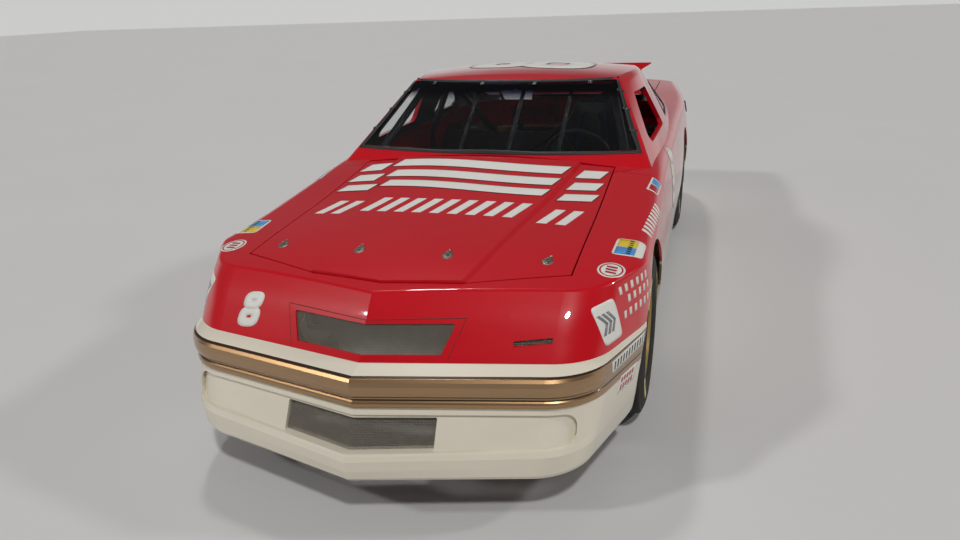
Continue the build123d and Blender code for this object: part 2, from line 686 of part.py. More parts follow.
    # Running gear that stays with the chassis
    arms = []
    for side in (-1, 1):
        outline = [(400, 925), (400, 1055), (700, 1014), (726, 1006), (726, 974), (700, 966)]
        low = plan_prism(outline, 216, 230)
        outline = [(470, 940), (470, 1040), (700, 1010), (726, 1004), (726, 976), (700, 970)]
        high = plan_prism(outline, 474, 486)
        pins = Pos(KINGPIN_X, y_of(FRONT_AXLE), 244) * Cylinder(9, 36)
        pins = pins + Pos(KINGPIN_X, y_of(FRONT_AXLE), 460) * Cylinder(9, 36)
        arm = low + high + pins
        arms.append(arm if side == 1 else mirror(arm, about=Plane.YZ))
    nodes["front_control_arms"] = group(*arms)
    axle = [disc_x(42, -640, 640, REAR_AXLE, TYRE_RADIUS), disc_x(125, -90, 90, REAR_AXLE, TYRE_RADIUS)]
    for side in (-1, 1):
        axle.append(Pos(side * 475, y_of(REAR_AXLE), 425) * Cylinder(52, 110))
        ends = sorted((side * 600, side * 806))
        axle.append(disc_x(SPINDLE, ends[0], ends[1], REAR_AXLE, TYRE_RADIUS))
        axle.append(rod((side * 300, 3770, 345), (side * 300, 3515, 215), 20))
    nodes["rear_axle"] = fuse_all(axle) - block(-600, 600, 3400, 3600, 0, FLOOR_Z)
    return nodes


SPINDLE = 30
WHEEL_FIT = 0.05
RIM_HALF = 121


def about_x(points, arcs=()):
    """A closed outline of (x, radius) points turned round the X axis; arcs lists (start index, middle)."""
    mids = dict(arcs)
    edges = []
    for i, start in enumerate(points):
        end = points[(i + 1) % len(points)]
        if i in mids:
            edges += ThreePointArc(start, mids[i], end).edges()
        else:
            edges += Line(start, end).edges()
    face = Plane(origin=(0, 0, 0), x_dir=(1, 0, 0), z_dir=(0, -1, 0)) * make_face(edges)
    return revolve(face, Axis.X)


def make_rim():
    """A slotted steel wheel, its outer face toward +X, centred on the origin."""
    outline = [(-129, 192), (-129, 214), (-RIM_HALF, 214), (-RIM_HALF, RIM_RADIUS), (RIM_HALF, RIM_RADIUS),
               (RIM_HALF, 214), (129, 214), (129, 192), (58, 192), (44, 150), (40, 92), (52, 62),
               (52, SPINDLE + WHEEL_FIT), (-10, SPINDLE + WHEEL_FIT), (-10, 62), (30, 92), (34, 150),
               (46, 192)]
    rim = about_x(outline)
    slot = Pos(40, 0, 160) * Rot(0, 90, 0) * extrude(SlotOverall(64, 22, rotation=90), 60, both=True)
    return rim - ring_about_x(slot, 10)


def ring_about_x(shape, count):
    """Copies of a shape spread evenly round the X axis."""
    return fuse_all([Rot(360 * i / count, 0, 0) * shape for i in range(count)])


def make_tyre():
    """A wide low tyre centred on the origin, solid between bead and tread."""
    half = TYRE_WIDTH / 2
    outline = [(-RIM_HALF, RIM_RADIUS), (-RIM_HALF, 216), (-half + 10, 334), (-half + 26, 347),
               (half - 26, 347), (half - 10, 334), (RIM_HALF, 216), (RIM_HALF, RIM_RADIUS)]
    arcs = [(1, (-half, 285)), (2, (-half + 16, 343)), (3, (0, TYRE_RADIUS)), (4, (half - 16, 343)),
            (5, (half, 285))]
    return about_x(outline, arcs)


def make_wheels():
    """Rims, tyres and knuckles, by name."""
    nodes = {}
    rim, tyre = make_rim(), make_tyre()
    for end, station in (("front", FRONT_AXLE), ("rear", REAR_AXLE)):
        spot = Pos(WHEEL_X, y_of(station), TYRE_RADIUS)
        for name, shape in (("rim", rim), ("tyre", tyre)):
            left = spot * shape
            nodes[f"left_{end}_{name}"] = left
            nodes[f"right_{end}_{name}"] = mirror(left, about=Plane.YZ)
    barrel = Pos(KINGPIN_X, y_of(FRONT_AXLE), 352) * Cylinder(23, 232)
    bore = Pos(KINGPIN_X, y_of(FRONT_AXLE), 249) * Cylinder(9 + WHEEL_FIT, 40)
    bore = bore + Pos(KINGPIN_X, y_of(FRONT_AXLE), 455) * Cylinder(9 + WHEEL_FIT, 40)
    spindle = disc_x(SPINDLE, KINGPIN_X, WHEEL_X + 38, FRONT_AXLE, TYRE_RADIUS)
    caliper = block(712, 752, 1000, 1100, 395, 440) + block(700, 724, 985, 1060, 370, 440)
    knuckle = barrel + spindle + caliper - bore
    nodes["left_knuckle"] = knuckle
    nodes["right_knuckle"] = mirror(knuckle, about=Plane.YZ)
    return nodes


# Cabin
DRIVER_X = 400
STEER_HUB = (DRIVER_X, 2130, 830)
STEER_TILT = 20
COLUMN_LENGTH = 424


def make_cabin():
    """Roof, glass and what shows through it, by name."""
    nodes = {}
    shell = greenhouse() - greenhouse(ROOF_THICK)
    screen = front_prism(SCREEN_OPENING, 1400, 2320, SCREEN_CORNER)
    rear = front_prism(REAR_OPENING, 3200, 4300, WINDOW_CORNER)
    doors = side_prism(DOOR_WINDOW, -1000, 1000, WINDOW_CORNER)
    quarters = side_prism(QUARTER_WINDOW, -1000, 1000, WINDOW_CORNER)
    hood_hole = plan_prism(hood_outline(PANEL_GAP + 1), 640, 1100)
    nodes["roof"] = shell - under_top() - screen - rear - doors - quarters - hood_hole
    pane = greenhouse(4) - greenhouse(9)
    nodes["windshield"] = pane & screen
    nodes["rear_window"] = pane & rear
    nodes["quarter_windows"] = pane & quarters
    bars = []
    for x in (-160, 100, 360):
        low, high = screen_point(x, 920), screen_point(x, 1270)
        bar = [(low + 13, 920), (low + 23, 920), (high + 23, 1270), (high + 13, 1270)]
        bars.append((side_prism(bar, x - 11, x + 11) & screen) - nodes["windshield"])
    nodes["windshield_braces"] = group(*bars)
    mirror_stem = block(0, 16, 2302, 2310.7, 1186, 1202)
    nodes["interior_mirror"] = block(-88, 104, 2302, 2309, 1140, 1190) + mirror_stem

    # Dash, seat and steering
    column_dir = Vector(0, cos(radians(STEER_TILT)), sin(radians(STEER_TILT)))
    hub = Vector(STEER_HUB[0], y_of(STEER_HUB[1]), STEER_HUB[2])
    foot = hub - column_dir * COLUMN_LENGTH
    column = extrude(Plane(foot, z_dir=column_dir) * Circle(20), COLUMN_LENGTH - 25)
    shaft = extrude(Plane(foot, z_dir=column_dir) * Circle(9), COLUMN_LENGTH + 10)
    flange = block(DRIVER_X - 40, DRIVER_X + 40, FIREWALL + 8, FIREWALL + 18, 640, 730)
    nodes["steering_column"] = column + shaft + flange
    hole = extrude(Plane(foot, z_dir=column_dir) * Circle(21), 600)
    dash = block(-650, 650, 1930, 1938, 640, 868) + block(-650, 650, 1790, 1938, 860, 868)
    for x in (-510, 510):
        dash = dash + block(x - 10, x + 10, 1896, 1912, 864, 878.7)
    nodes["dash_panel"] = dash - hole
    ring = Plane(hub, z_dir=column_dir) * Pos(0, 0, 12) * Torus(178, 13)
    boss = Plane(hub, z_dir=column_dir) * Pos(0, 0, 0) * Cylinder(34, 36)
    spoke = Pos(98, 0, 0) * Box(150, 26, 7)
    spokes = [Plane(hub, z_dir=column_dir) * Pos(0, 0, 8) * Rot(0, 0, a) * spoke for a in (90, 210, 330)]
    wheel = fuse_all([ring, boss, *spokes])
    nodes["steering_wheel"] = wheel - extrude(Plane(foot, z_dir=column_dir) * Circle(9 + PIN_FIT), 600)
    seat_side = [(2320, 250), (2320, 330), (2380, 372), (2610, 352), (2672, 1060), (2730, 1060), (2735, 250)]
    seat = side_prism(seat_side, DRIVER_X - 205, DRIVER_X + 205, 24)
    waist = front_prism([(190, 690), (290, 1000), (310, 1020), (310, 1120), (190, 1120)], 2500, 2800)
    far = front_prism([(610, 690), (510, 1000), (490, 1020), (490, 1120), (610, 1120)], 2500, 2800)
    scoop = block(DRIVER_X - 165, DRIVER_X + 165, 2300, 2800, 398, 1200)
    scoop = scoop & side_prism([(2300, 392), (2632, 378), (2684, 930), (2300, 930)], 100, 700)
    rest = block(DRIVER_X - 92, DRIVER_X + 92, 2630, 2732, 960, 1112)
    nodes["driver_seat"] = (seat - waist - far) + rest - block(0, 800, 2200, 2800, 0, FLOOR_Z + 6)
    seat_foot = block(DRIVER_X - 150, DRIVER_X + 150, 2400, 2700, FLOOR_Z + 6, 260)
    nodes["driver_seat"] = nodes["driver_seat"] + seat_foot
    return nodes


def screen_point(x, z):
    """The station of the windscreen's outside at x out from the centre and height z."""
    front, fx, fs, *_ = glass_row(z)
    return front + (fs - front) * (x / fx) ** 2


SPOILER_SIDE = ((4880, 940), (4958, 1112), (4968, 1108), (4892, 934))
SPOILER_FRONT = ((-560, 1120), (-560, 1104), (-480, 1056), (-468, 930), (468, 930), (480, 1056), (560, 1104),
                 (560, 1120))


def make_spoiler():
    """The leaning blade on the rear edge of the deck lid, wider at its top."""
    blade = side_prism(SPOILER_SIDE, -560, 560) & front_prism(SPOILER_FRONT, 4800, 5100)
    return blade - under_top()


def make_all():
    """Every piece of the car, by name."""
    nodes = make_panels()
    nodes.update(make_chassis())
    nodes.update(make_wheels())
    nodes.update(make_cabin())
    nodes["spoiler"] = make_spoiler()
    return nodes


os.makedirs("parts", exist_ok=True)
for name, shape in make_all().items():
    export_step(shape, f"parts/{name}.step")
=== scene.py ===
"""Looks of a 1980s closed-roof stock racing car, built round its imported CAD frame. Metres, nose toward -Y."""

import json

import bpy
import numpy as np
from mathutils import Matrix, Vector


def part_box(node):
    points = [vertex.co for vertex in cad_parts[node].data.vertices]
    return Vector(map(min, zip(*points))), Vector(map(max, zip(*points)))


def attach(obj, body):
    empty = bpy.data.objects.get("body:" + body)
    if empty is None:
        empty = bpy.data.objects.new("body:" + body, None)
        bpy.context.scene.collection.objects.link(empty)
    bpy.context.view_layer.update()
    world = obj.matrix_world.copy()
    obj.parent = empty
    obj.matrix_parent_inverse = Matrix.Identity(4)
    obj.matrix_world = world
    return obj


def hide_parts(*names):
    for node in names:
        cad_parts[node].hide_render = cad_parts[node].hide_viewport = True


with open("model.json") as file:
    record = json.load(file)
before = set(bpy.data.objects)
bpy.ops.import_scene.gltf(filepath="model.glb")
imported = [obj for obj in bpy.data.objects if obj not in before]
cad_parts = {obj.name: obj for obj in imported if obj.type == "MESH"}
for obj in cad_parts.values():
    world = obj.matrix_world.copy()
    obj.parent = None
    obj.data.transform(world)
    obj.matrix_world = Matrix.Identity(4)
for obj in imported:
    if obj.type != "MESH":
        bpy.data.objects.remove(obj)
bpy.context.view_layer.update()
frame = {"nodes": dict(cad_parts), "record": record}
NODES = frame["nodes"]
NOSE = -2.50
SIDES = (("left", 1), ("right", -1))
ACROSS, FORWARD, BACKWARD, UP = (1, 0, 0), (0, -1, 0), (0, 1, 0), (0, 0, 1)


def new_object(name, data):
    """An object at the origin, linked to the scene."""
    made = bpy.data.objects.new(name, data)
    bpy.context.scene.collection.objects.link(made)
    return made


# Camera, at the photograph's place: it stands at the car's left front corner and looks down at the nose
YAW, PITCH, ROLL = -0.305842, 0.348747, -0.039306
CAMERA_PLACE = (1.100, NOSE - 1.9715, 1.7033)
FOCAL_PIXELS, PICTURE_WIDTH, SENSOR = 749.67, 960, 36.0


def camera_axes():
    """Right, up and backward directions of a camera turned by yaw and pitch, then rolled about its view."""
    ahead = np.array([np.sin(YAW) * np.cos(PITCH), np.cos(YAW) * np.cos(PITCH), -np.sin(PITCH)])
    side = np.array([np.cos(YAW), -np.sin(YAW), 0.0])
    top = np.cross(side, ahead)
    right = np.cos(ROLL) * side + np.sin(ROLL) * top
    up = np.cos(ROLL) * top - np.sin(ROLL) * side
    return right, up, -ahead


camera = new_object("camera", bpy.data.cameras.new("camera"))
turned = Matrix(np.array(camera_axes()).T.tolist()).to_4x4()
camera.matrix_world = Matrix.Translation(CAMERA_PLACE) @ turned
camera.data.sensor_width = SENSOR
camera.data.lens = SENSOR * FOCAL_PIXELS / PICTURE_WIDTH
camera.data.clip_end = 200
bpy.context.scene.camera = camera


# Materials
def new_material(name, **sockets):
    """A material whose Principled shader has the given socket values; spaces in a name are underscores."""
    material = bpy.data.materials.new(name)
    material.use_nodes = True
    shader = material.node_tree.nodes["Principled BSDF"]
    for key, value in sockets.items():
        shader.inputs[key.replace("_", " ")].default_value = value
    return material


def node(material, kind, inputs=(), **settings):
    """Adds a shader node, sets its settings, and sets or links its inputs by name or number."""
    tree = material.node_tree
    made = tree.nodes.new(kind)
    for key, value in settings.items():
        setattr(made, key, value)
    for key, value in dict(inputs).items():
        if isinstance(value, bpy.types.NodeSocket):
            tree.links.new(value, made.inputs[key])
        else:
            made.inputs[key].default_value = value
    return made


def place(material):
    """The Object coordinates of a material."""
    return node(material, "ShaderNodeTexCoord").outputs["Object"]


def parts_of(material, vector):
    """The X, Y and Z outputs of a vector."""
    return node(material, "ShaderNodeSeparateXYZ", {0: vector}).outputs


def math_node(material, operation, *values):
    """The result of one Math node."""
    return node(material, "ShaderNodeMath", enumerate(values), operation=operation).outputs[0]


def noise(material, scale, detail=3.0):
    """Noise on Object coordinates."""
    inputs = {"Vector": place(material), "Scale": scale, "Detail": detail}
    return node(material, "ShaderNodeTexNoise", inputs).outputs["Fac"]


def ramp(material, factor, stops, interpolation="LINEAR"):
    """A colour ramp over a factor; stops are (position, colour)."""
    made = node(material, "ShaderNodeValToRGB", {"Fac": factor})
    band = made.color_ramp
    band.interpolation = interpolation
    while len(band.elements) < len(stops):
        band.elements.new(1.0)
    for element, (position, colour) in zip(band.elements, stops):
        element.position = position
        element.color = (*colour, 1.0)
    return made.outputs["Color"]


def link(material, output, socket):
    """Links an output to a socket of the material's Principled shader."""
    material.node_tree.links.new(output, material.node_tree.nodes["Principled BSDF"].inputs[socket])


def bump(material, height, strength, distance):
    """Gives the material a bump from a height."""
    inputs = {"Height": height, "Strength": strength, "Distance": distance}
    link(material, node(material, "ShaderNodeBump", inputs).outputs[0], "Normal")


def spread(material, factor, low, high):
    """A number that runs from low to high as the factor runs from 0 to 1."""
    inputs = {"Value": factor, "To Min": low, "To Max": high}
    return node(material, "ShaderNodeMapRange", inputs).outputs[0]


RED, CREAM, GOLD = (0.62, 0.002, 0.010), (0.80, 0.735, 0.60), (0.40, 0.24, 0.115)
# Painted shade: the dark brown of the thin lines in the grooves and steps between the nose's mouldings
PAINTED_GROOVE_SHADE = (0.05, 0.028, 0.015)
LINING = (0.030, 0.031, 0.033, 1.0)
CLEAR_GLASS = (0.86, 0.90, 0.90)

# A face is an inner one where the way to it from the core, along its normal, is less than this
FACES_INWARD = -0.06

# Colour bands of the body by height in metres, lowest first; the thin dark bands are painted shade in the
# grooves and steps between the nose's mouldings
BANDS = (
    # lower edge, colour, metallic
    (0.0, CREAM, 0.0),
    (0.4120, PAINTED_GROOVE_SHADE, 0.3),
    (0.4135, GOLD, 0.85),
    (0.4405, PAINTED_GROOVE_SHADE, 0.3),
    (0.4425, GOLD, 0.85),
    (0.4525, PAINTED_GROOVE_SHADE, 0.3),
    (0.4555, GOLD, 0.85),
    (0.5225, PAINTED_GROOVE_SHADE, 0.3),
    (0.5240, CREAM, 0.0),
    (0.5455, RED, 0.0),
)


def inner_side(material, front, rear, height):
    """1 where a surface looks toward the line from (0, front, height) to (0, rear, height), 0 elsewhere."""
    spot = place(material)
    along = parts_of(material, spot)["Y"]
    nearest = node(material, "ShaderNodeClamp", {"Value": along, "Min": front, "Max": rear}).outputs[0]
    core = node(material, "ShaderNodeCombineXYZ", {"Y": nearest, "Z": height}).outputs[0]
    outward = node(material, "ShaderNodeVectorMath", {0: spot, 1: core}, operation="SUBTRACT").outputs[0]
    looks = node(material, "ShaderNodeTexCoord").outputs["Normal"]
    facing = node(material, "ShaderNodeVectorMath", {0: outward, 1: looks}, operation="DOT_PRODUCT")
    return math_node(material, "LESS_THAN", facing.outputs["Value"], FACES_INWARD)


def body_paint(name="body_paint", lined=None):
    """Lacquered paint in level bands of red, cream and metallic gold, with thin dark bands of painted shade
    between the mouldings, and dark on its inner side where lined.
    """
    made = new_material(name, Specular_IOR_Level=0.15, Coat_Weight=1.0, Coat_Roughness=0.03)
    height = parts_of(made, place(made))["Z"]
    colour = ramp(made, height, [(low, shade) for low, shade, _ in BANDS], "CONSTANT")
    shine = ramp(made, height, [(low, (m, m, m)) for low, _, m in BANDS], "CONSTANT")
    inputs = {0: 1.0, 6: colour, 7: spread(made, noise(made, 2.2), 0.93, 1.05)}
    mixed = node(made, "ShaderNodeMix", inputs, data_type="RGBA", blend_type="MULTIPLY")
    if lined:
        inputs = {0: inner_side(made, *lined), 6: mixed.outputs[2], 7: LINING}
        mixed = node(made, "ShaderNodeMix", inputs, data_type="RGBA")
    link(made, mixed.outputs[2], "Base Color")
    link(made, shine, "Metallic")
    link(made, spread(made, noise(made, 700, 2.0), 0.26, 0.38), "Roughness")
    bump(made, noise(made, 260, 1.0), 0.035, 0.0006)
    return made


def mottled(material, colour, scale, darker):
    """Gives the material a colour that is darker by a share here and there."""
    dark = tuple(c * darker for c in colour)
    link(material, ramp(material, noise(material, scale), [(0.3, dark), (0.7, colour)]), "Base Color")


def plain(name, colour, roughness, grain=60, rough_spread=0.12, colour_spread=0.18, depth=0.0004, **sockets):
    """A material with a little cloudiness in its colour, roughness and surface, as every real finish has."""
    made = new_material(name, **sockets)
    mottled(made, colour, grain / 6, 1 - colour_spread)
    low, high = roughness - rough_spread / 2, roughness + rough_spread / 2
    link(made, spread(made, noise(made, grain), low, high), "Roughness")
    bump(made, noise(made, grain * 5, 2.0), 0.25, depth)
    return made


def vinyl(colour_name, colour, colour_spread=0.08, roughness=0.28, coat=0.4):
    """Smooth self-adhesive film."""
    return plain(f"{colour_name}_vinyl", colour, roughness, 30, 0.06, colour_spread, 0.0001, Coat_Weight=coat)


def glass(name, tint=None, tint_from=None, tint_to=None):
    """Clear thin glass, and a darker tint that fades in between two heights where they are given."""
    made = new_material(name, Roughness=0.0, IOR=1.45, Transmission_Weight=1.0, Base_Color=(*CLEAR_GLASS, 1))
    if tint:
        inputs = {"Value": parts_of(made, place(made))["Z"], "From Min": tint_from, "From Max": tint_to}
        share = node(made, "ShaderNodeMapRange", inputs).outputs[0]
        link(made, ramp(made, share, [(0.0, CLEAR_GLASS), (1.0, tint)]), "Base Color")
    return made


def woven_cloth(name, colour, pitch=0.0016):
    """Plain-woven cloth: two crossed waves give the threads."""
    made = new_material(name, Roughness=0.85, Sheen_Weight=0.25)
    parts = parts_of(made, place(made))
    across, along = (math_node(made, "SINE", math_node(made, "MULTIPLY", parts[axis], np.pi / pitch))
                     for axis in ("X", "Z"))
    bump(made, math_node(made, "MULTIPLY", across, along), 0.5, 0.0005)
    mottled(made, colour, 90, 0.6)
    return made


PAINT = body_paint()
ROOF_PAINT = body_paint("roof_paint", (-0.10, 0.70, 0.95))
BLACK_STEEL = plain("black_enamel_steel", (0.018, 0.018, 0.020), 0.42, Coat_Weight=0.15)
GREY_STEEL = plain("grey_enamel_steel", (0.10, 0.105, 0.11), 0.45)
CAST = plain("cast_iron", (0.09, 0.08, 0.075), 0.6, 35, depth=0.001)
BARE_STEEL = plain("bare_steel", (0.46, 0.45, 0.43), 0.34, 80, Metallic=1.0)
ALUMINIUM = plain("brushed_aluminium", (0.66, 0.66, 0.67), 0.32, 120, Metallic=1.0)
SCREEN_WIRE = plain("screen_wire", (0.36, 0.33, 0.27), 0.45, 200, Metallic=0.5)
SCUFF_PLATE = plain("scuff_plate", (0.30, 0.27, 0.23), 0.38, 90, Metallic=0.85)
TRIM = plain("black_rubber_trim", (0.012, 0.012, 0.013), 0.5)
WHEEL_PAINT = plain("wheel_paint", (0.58, 0.42, 0.16), 0.35, 60, Metallic=0.4, Coat_Weight=0.5)
TYRE_RUBBER = plain("tyre_rubber", (0.020, 0.019, 0.018), 0.72, 40, 0.16, 0.3, 0.0006,
                    Specular_IOR_Level=0.35)
TYRE_MARK = plain("tyre_mark_paint", (0.72, 0.62, 0.22), 0.6)
SCREEN_GLASS = glass("screen_glass", (0.05, 0.045, 0.11), 1.165, 1.205)
SIDE_GLASS = glass("side_glass")
MIRROR = plain("mirror_glass", (0.75, 0.76, 0.78), 0.04, rough_spread=0.02, depth=0.00005, Metallic=1.0)
SEAT_CLOTH = woven_cloth("seat_cloth", (0.03, 0.03, 0.034))
BELT_CLOTH = woven_cloth("belt_webbing", (0.012, 0.020, 0.060), 0.0022)
WHITE_VINYL = vinyl("white", (0.80, 0.78, 0.72), 0.04, 0.46, 0.05)
BLACK_VINYL = vinyl("black", (0.015, 0.015, 0.016), 0.1, 0.3)
BLUE_VINYL = vinyl("blue", (0.08, 0.33, 0.72), 0.05)
YELLOW_VINYL = vinyl("yellow", (0.80, 0.60, 0.03), 0.05)
GREY_VINYL = vinyl("grey", (0.22, 0.22, 0.23))
RED_VINYL = vinyl("red", (0.48, 0.01, 0.014))
SEAM_DARK = plain("seam_shadow", (0.045, 0.004, 0.006), 0.5, 40, 0.1, 0.2, 0.0001)
LAMP_RED = plain("lamp_red", (0.28, 0.006, 0.008), 0.12, Coat_Weight=0.8)
LAMP_RIM = plain("lamp_rim", (0.02, 0.02, 0.021), 0.35)
DIAL_FACE = plain("dial_face", (0.010, 0.010, 0.011), 0.25, 40, 0.05, 0.1, 0.0001, Coat_Weight=0.6)

# Which material each slot of the record takes on the CAD pieces
SLOT_MATERIALS = {
    "red_paint": PAINT,
    "cream_paint": PAINT,
    "white_paint": PAINT,
    "mesh": SCREEN_WIRE,
    "black_steel": BLACK_STEEL,
    "grey_steel": GREY_STEEL,
    "cast": CAST,
    "bare_steel": BARE_STEEL,
    "aluminium": ALUMINIUM,
    "glass": SIDE_GLASS,
    "trim": TRIM,
    "seat_cloth": SEAT_CLOTH,
    "mirror": MIRROR,
    "wheel_paint": WHEEL_PAINT,
    "tyre": TYRE_RUBBER,
    "lamp": LAMP_RED,
}
OWN_MATERIALS = {"windshield": SCREEN_GLASS, "roof": ROOF_PAINT}


def paint_cad_nodes():
    """Gives each CAD node the finished material of its record slot, or its own."""
    for row in frame["record"]["subparts"]:
        name = row["node"]
        made = OWN_MATERIALS.get(name, SLOT_MATERIALS[row["material_slot"]])
        if not NODES[name].material_slots:
            NODES[name].data.materials.append(made)
        for place_in_list in NODES[name].material_slots:
            place_in_list.material = made


paint_cad_nodes()


# Mesh code
def unit(vectors):
    """Vectors scaled to length one along the last axis."""
    return vectors / np.linalg.norm(vectors, axis=-1, keepdims=True)


def level(x, y):
    """Points at height 0 from two arrays of one shape."""
    return np.stack([x, y, 0 * x], axis=-1)


def grid_faces(rows, columns, close_rows=False, close_columns=False):
    """Quads between neighbouring points of a grid, numbered row by row, closed round either way."""
    i = np.arange(rows if close_rows else rows - 1)[:, None]
    j = np.arange(columns if close_columns else columns - 1)[None, :]
    i2, j2 = (i + 1) % rows, (j + 1) % columns
    corners = (i * columns + j, i2 * columns + j, i2 * columns + j2, i * columns + j2)
    return np.stack([c.ravel() for c in np.broadcast_arrays(*corners)], axis=1)


def add_piece(name, points, faces, material, slot=None, body="chassis", smooth=True, stands_for=()):
    """Puts points and quads into a mesh and makes it a piece that rides on a body."""
    mesh = bpy.data.meshes.new(name)
    mesh.from_pydata(np.asarray(points, float).reshape(-1, 3).tolist(), [], np.asarray(faces).tolist())
    mesh.polygons.foreach_set("use_smooth", np.full(len(mesh.polygons), smooth))
    mesh.materials.append(material)
    mesh.update()
    made = new_object(name, mesh)
    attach(made, body)
    if stands_for:
        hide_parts(*stands_for)
    return made


def thicken(piece, thickness, offset):
    """Gives a piece's surface a thickness, along its normals with offset 1, against them with offset -1."""
    wall = piece.modifiers.new("wall", "SOLIDIFY")
    wall.thickness, wall.offset = thickness, offset


def joined(parts):
    """One list of points and one of faces from several (points, faces)."""
    points = [np.asarray(p, float).reshape(-1, 3) for p, _ in parts]
    starts = np.cumsum([0] + [len(p) for p in points[:-1]])
    return np.concatenate(points), np.concatenate([f + start for (_, f), start in zip(parts, starts)])


def spun(profile, count, centre=(0, 0, 0), axis=2, squeeze=(1, 1)):
    """A profile of (radius, height) turned round an axis: across = radius cos a, radius sin a."""
    radius, height = np.asarray(profile, float).T
    angle = np.linspace(0, 2 * np.pi, count, endpoint=False)[:, None]
    flat = np.stack([radius * np.cos(angle) * squeeze[0], radius * np.sin(angle) * squeeze[1],
                     np.broadcast_to(height, (count, len(height)))], axis=2)
    order = {0: [2, 0, 1], 1: [1, 2, 0], 2: [0, 1, 2]}[axis]
    return flat[..., order] + np.asarray(centre, float), grid_faces(count, len(height), True)


def tube(path, radius, sides):
    """A round tube: each ring is path + radius (side cos a + up sin a), square to the path's direction."""
    path = np.asarray(path, float)
    before = np.vstack([path[:1] * 2 - path[1:2], path[:-1]])
    after = np.vstack([path[1:], path[-1:] * 2 - path[-2:-1]])
    ahead = unit(after - before)
    side = unit(np.cross(ahead, UP))
    up = np.cross(side, ahead)
    angle = np.linspace(0, 2 * np.pi, sides, endpoint=False)[None, :, None]
    rings = path[:, None] + radius * (side[:, None] * np.cos(angle) + up[:, None] * np.sin(angle))
    return rings, grid_faces(len(path), sides, False, True)


def on_surface(names, start, direction):
    """Where a ray from a point meets the first of some CAD nodes: (place, normal)."""
    hits = []
    for name in names:
        found, spot, normal, _ = NODES[name].ray_cast(Vector(start), Vector(direction))
        if found:
            hits.append(((spot - Vector(start)).length, spot, normal))
    _, spot, normal = min(hits, key=lambda hit: hit[0])
    return np.array(spot), np.array(normal if normal.dot(Vector(direction)) < 0 else -normal)


def seat_frame(spot, outward, across):
    """A frame on a surface: Z runs outward, X follows the across direction as far as Z lets it."""
    outward = unit(np.asarray(outward, float))
    side = unit(np.asarray(across, float) - outward * np.dot(across, outward))
    axes = Matrix(np.stack([side, np.cross(outward, side), outward], axis=1).tolist()).to_4x4()
    return Matrix.Translation(spot) @ axes


def stood_on(points, seat):
    """Points given in a surface frame, moved to their place on the car."""
    axes = np.array(seat.to_3x3())
    return np.asarray(points, float).reshape(-1, 3) @ axes.T + np.array(seat.translation)


def seated(shape, seat):
    """The points and faces of a shape given in a surface frame, moved to their place on the car."""
    points, faces = shape
    return stood_on(points, seat), faces


# A dropped point that moved less than this has hit nothing
STAYED = 1e-6


def dropped_points(flat, faces, seat, targets, lift, stands_off):
    """Points of a surface frame dropped along its Z onto CAD nodes: (points in the frame, which missed)."""
    mesh = bpy.data.meshes.new("dropping")
    start = np.asarray(flat, float).reshape(-1, 3) + [0, 0, stands_off]
    mesh.from_pydata(start.tolist(), [], np.asarray(faces).tolist())
    piece = new_object("dropping", mesh)
    piece.matrix_world = seat
    wrap = piece.modifiers.new("wrap", "SHRINKWRAP")
    wrap.wrap_method = "PROJECT"
    wrap.target = NODES[targets[0]]
    if len(targets) > 1:
        wrap.auxiliary_target = NODES[targets[1]]
    wrap.use_project_z = True
    wrap.use_negative_direction, wrap.use_positive_direction = True, False
    wrap.offset = lift
    bpy.context.view_layer.update()
    dropped = bpy.data.meshes.new_from_object(piece.evaluated_get(bpy.context.evaluated_depsgraph_get()))
    landed = np.empty(len(dropped.vertices) * 3)
    dropped.vertices.foreach_get("co", landed)
    bpy.data.objects.remove(piece)
    bpy.data.meshes.remove(mesh)
    bpy.data.meshes.remove(dropped)
    landed = landed.reshape(-1, 3)
    return landed, np.abs(landed[:, 2] - start[:, 2]) < STAYED


def sticker(name, flat, seat, material, targets, lift, thick, slot=None, body="chassis", stands_off=0.25):
    """Flat (points, faces) of a surface frame laid on one or two CAD nodes as a thin skin."""
    points, faces = flat
    landed, missed = dropped_points(points, faces, seat, targets, lift, stands_off)
    faces = np.asarray(faces)
    faces = faces[~missed[faces].any(axis=1)]
    used, numbers = np.unique(faces, return_inverse=True)
    piece = add_piece(name, stood_on(landed[used], seat), numbers.reshape(faces.shape), material, slot, body)
    thicken(piece, thick, -1.0)


# Flat shapes for graphics, in metres on their own X and Y
def bar_shape(x0, x1, y0, y1, slant=0.0, steps=8, rows=4):
    """A slanted bar: x runs from x0 to x1 and leans by slant times y."""
    x, y = np.meshgrid(np.linspace(x0, x1, steps), np.linspace(y0, y1, rows), indexing="ij")
    return level(x + slant * y, y), grid_faces(steps, rows)


def ring_shape(half_x, half_y, stroke, y=0.0, power=0.72, count=56):
    """A ring between two rounded boxes: x = half_x sgn(c)|c|^power, y = half_y sgn(s)|s|^power."""
    angle = np.linspace(0, 2 * np.pi, count, endpoint=False)[:, None]
    inward = np.linspace(0, 1, 4)[None, :] * stroke
    c, s = np.cos(angle), np.sin(angle)
    flat_x = (half_x - inward) * np.sign(c) * np.abs(c) ** power
    flat_y = y + (half_y - inward) * np.sign(s) * np.abs(s) ** power
    return level(flat_x, flat_y), grid_faces(count, 4, True)


def filled_shape(half_x, half_y, roundness=9.0, steps=17):
    """A rounded box or disc: a square grid pulled in so that |u|^n + |v|^n keeps its size on each ring."""
    u, v = np.meshgrid(np.linspace(-1, 1, steps), np.linspace(-1, 1, steps), indexing="ij")
    ring = np.maximum(np.abs(u), np.abs(v))
    round_size = (np.abs(u) ** roundness + np.abs(v) ** roundness) ** (1 / roundness)
    pull = ring / np.maximum(round_size, 1e-9)
    return level(half_x * u * pull, half_y * v * pull), grid_faces(steps, steps)


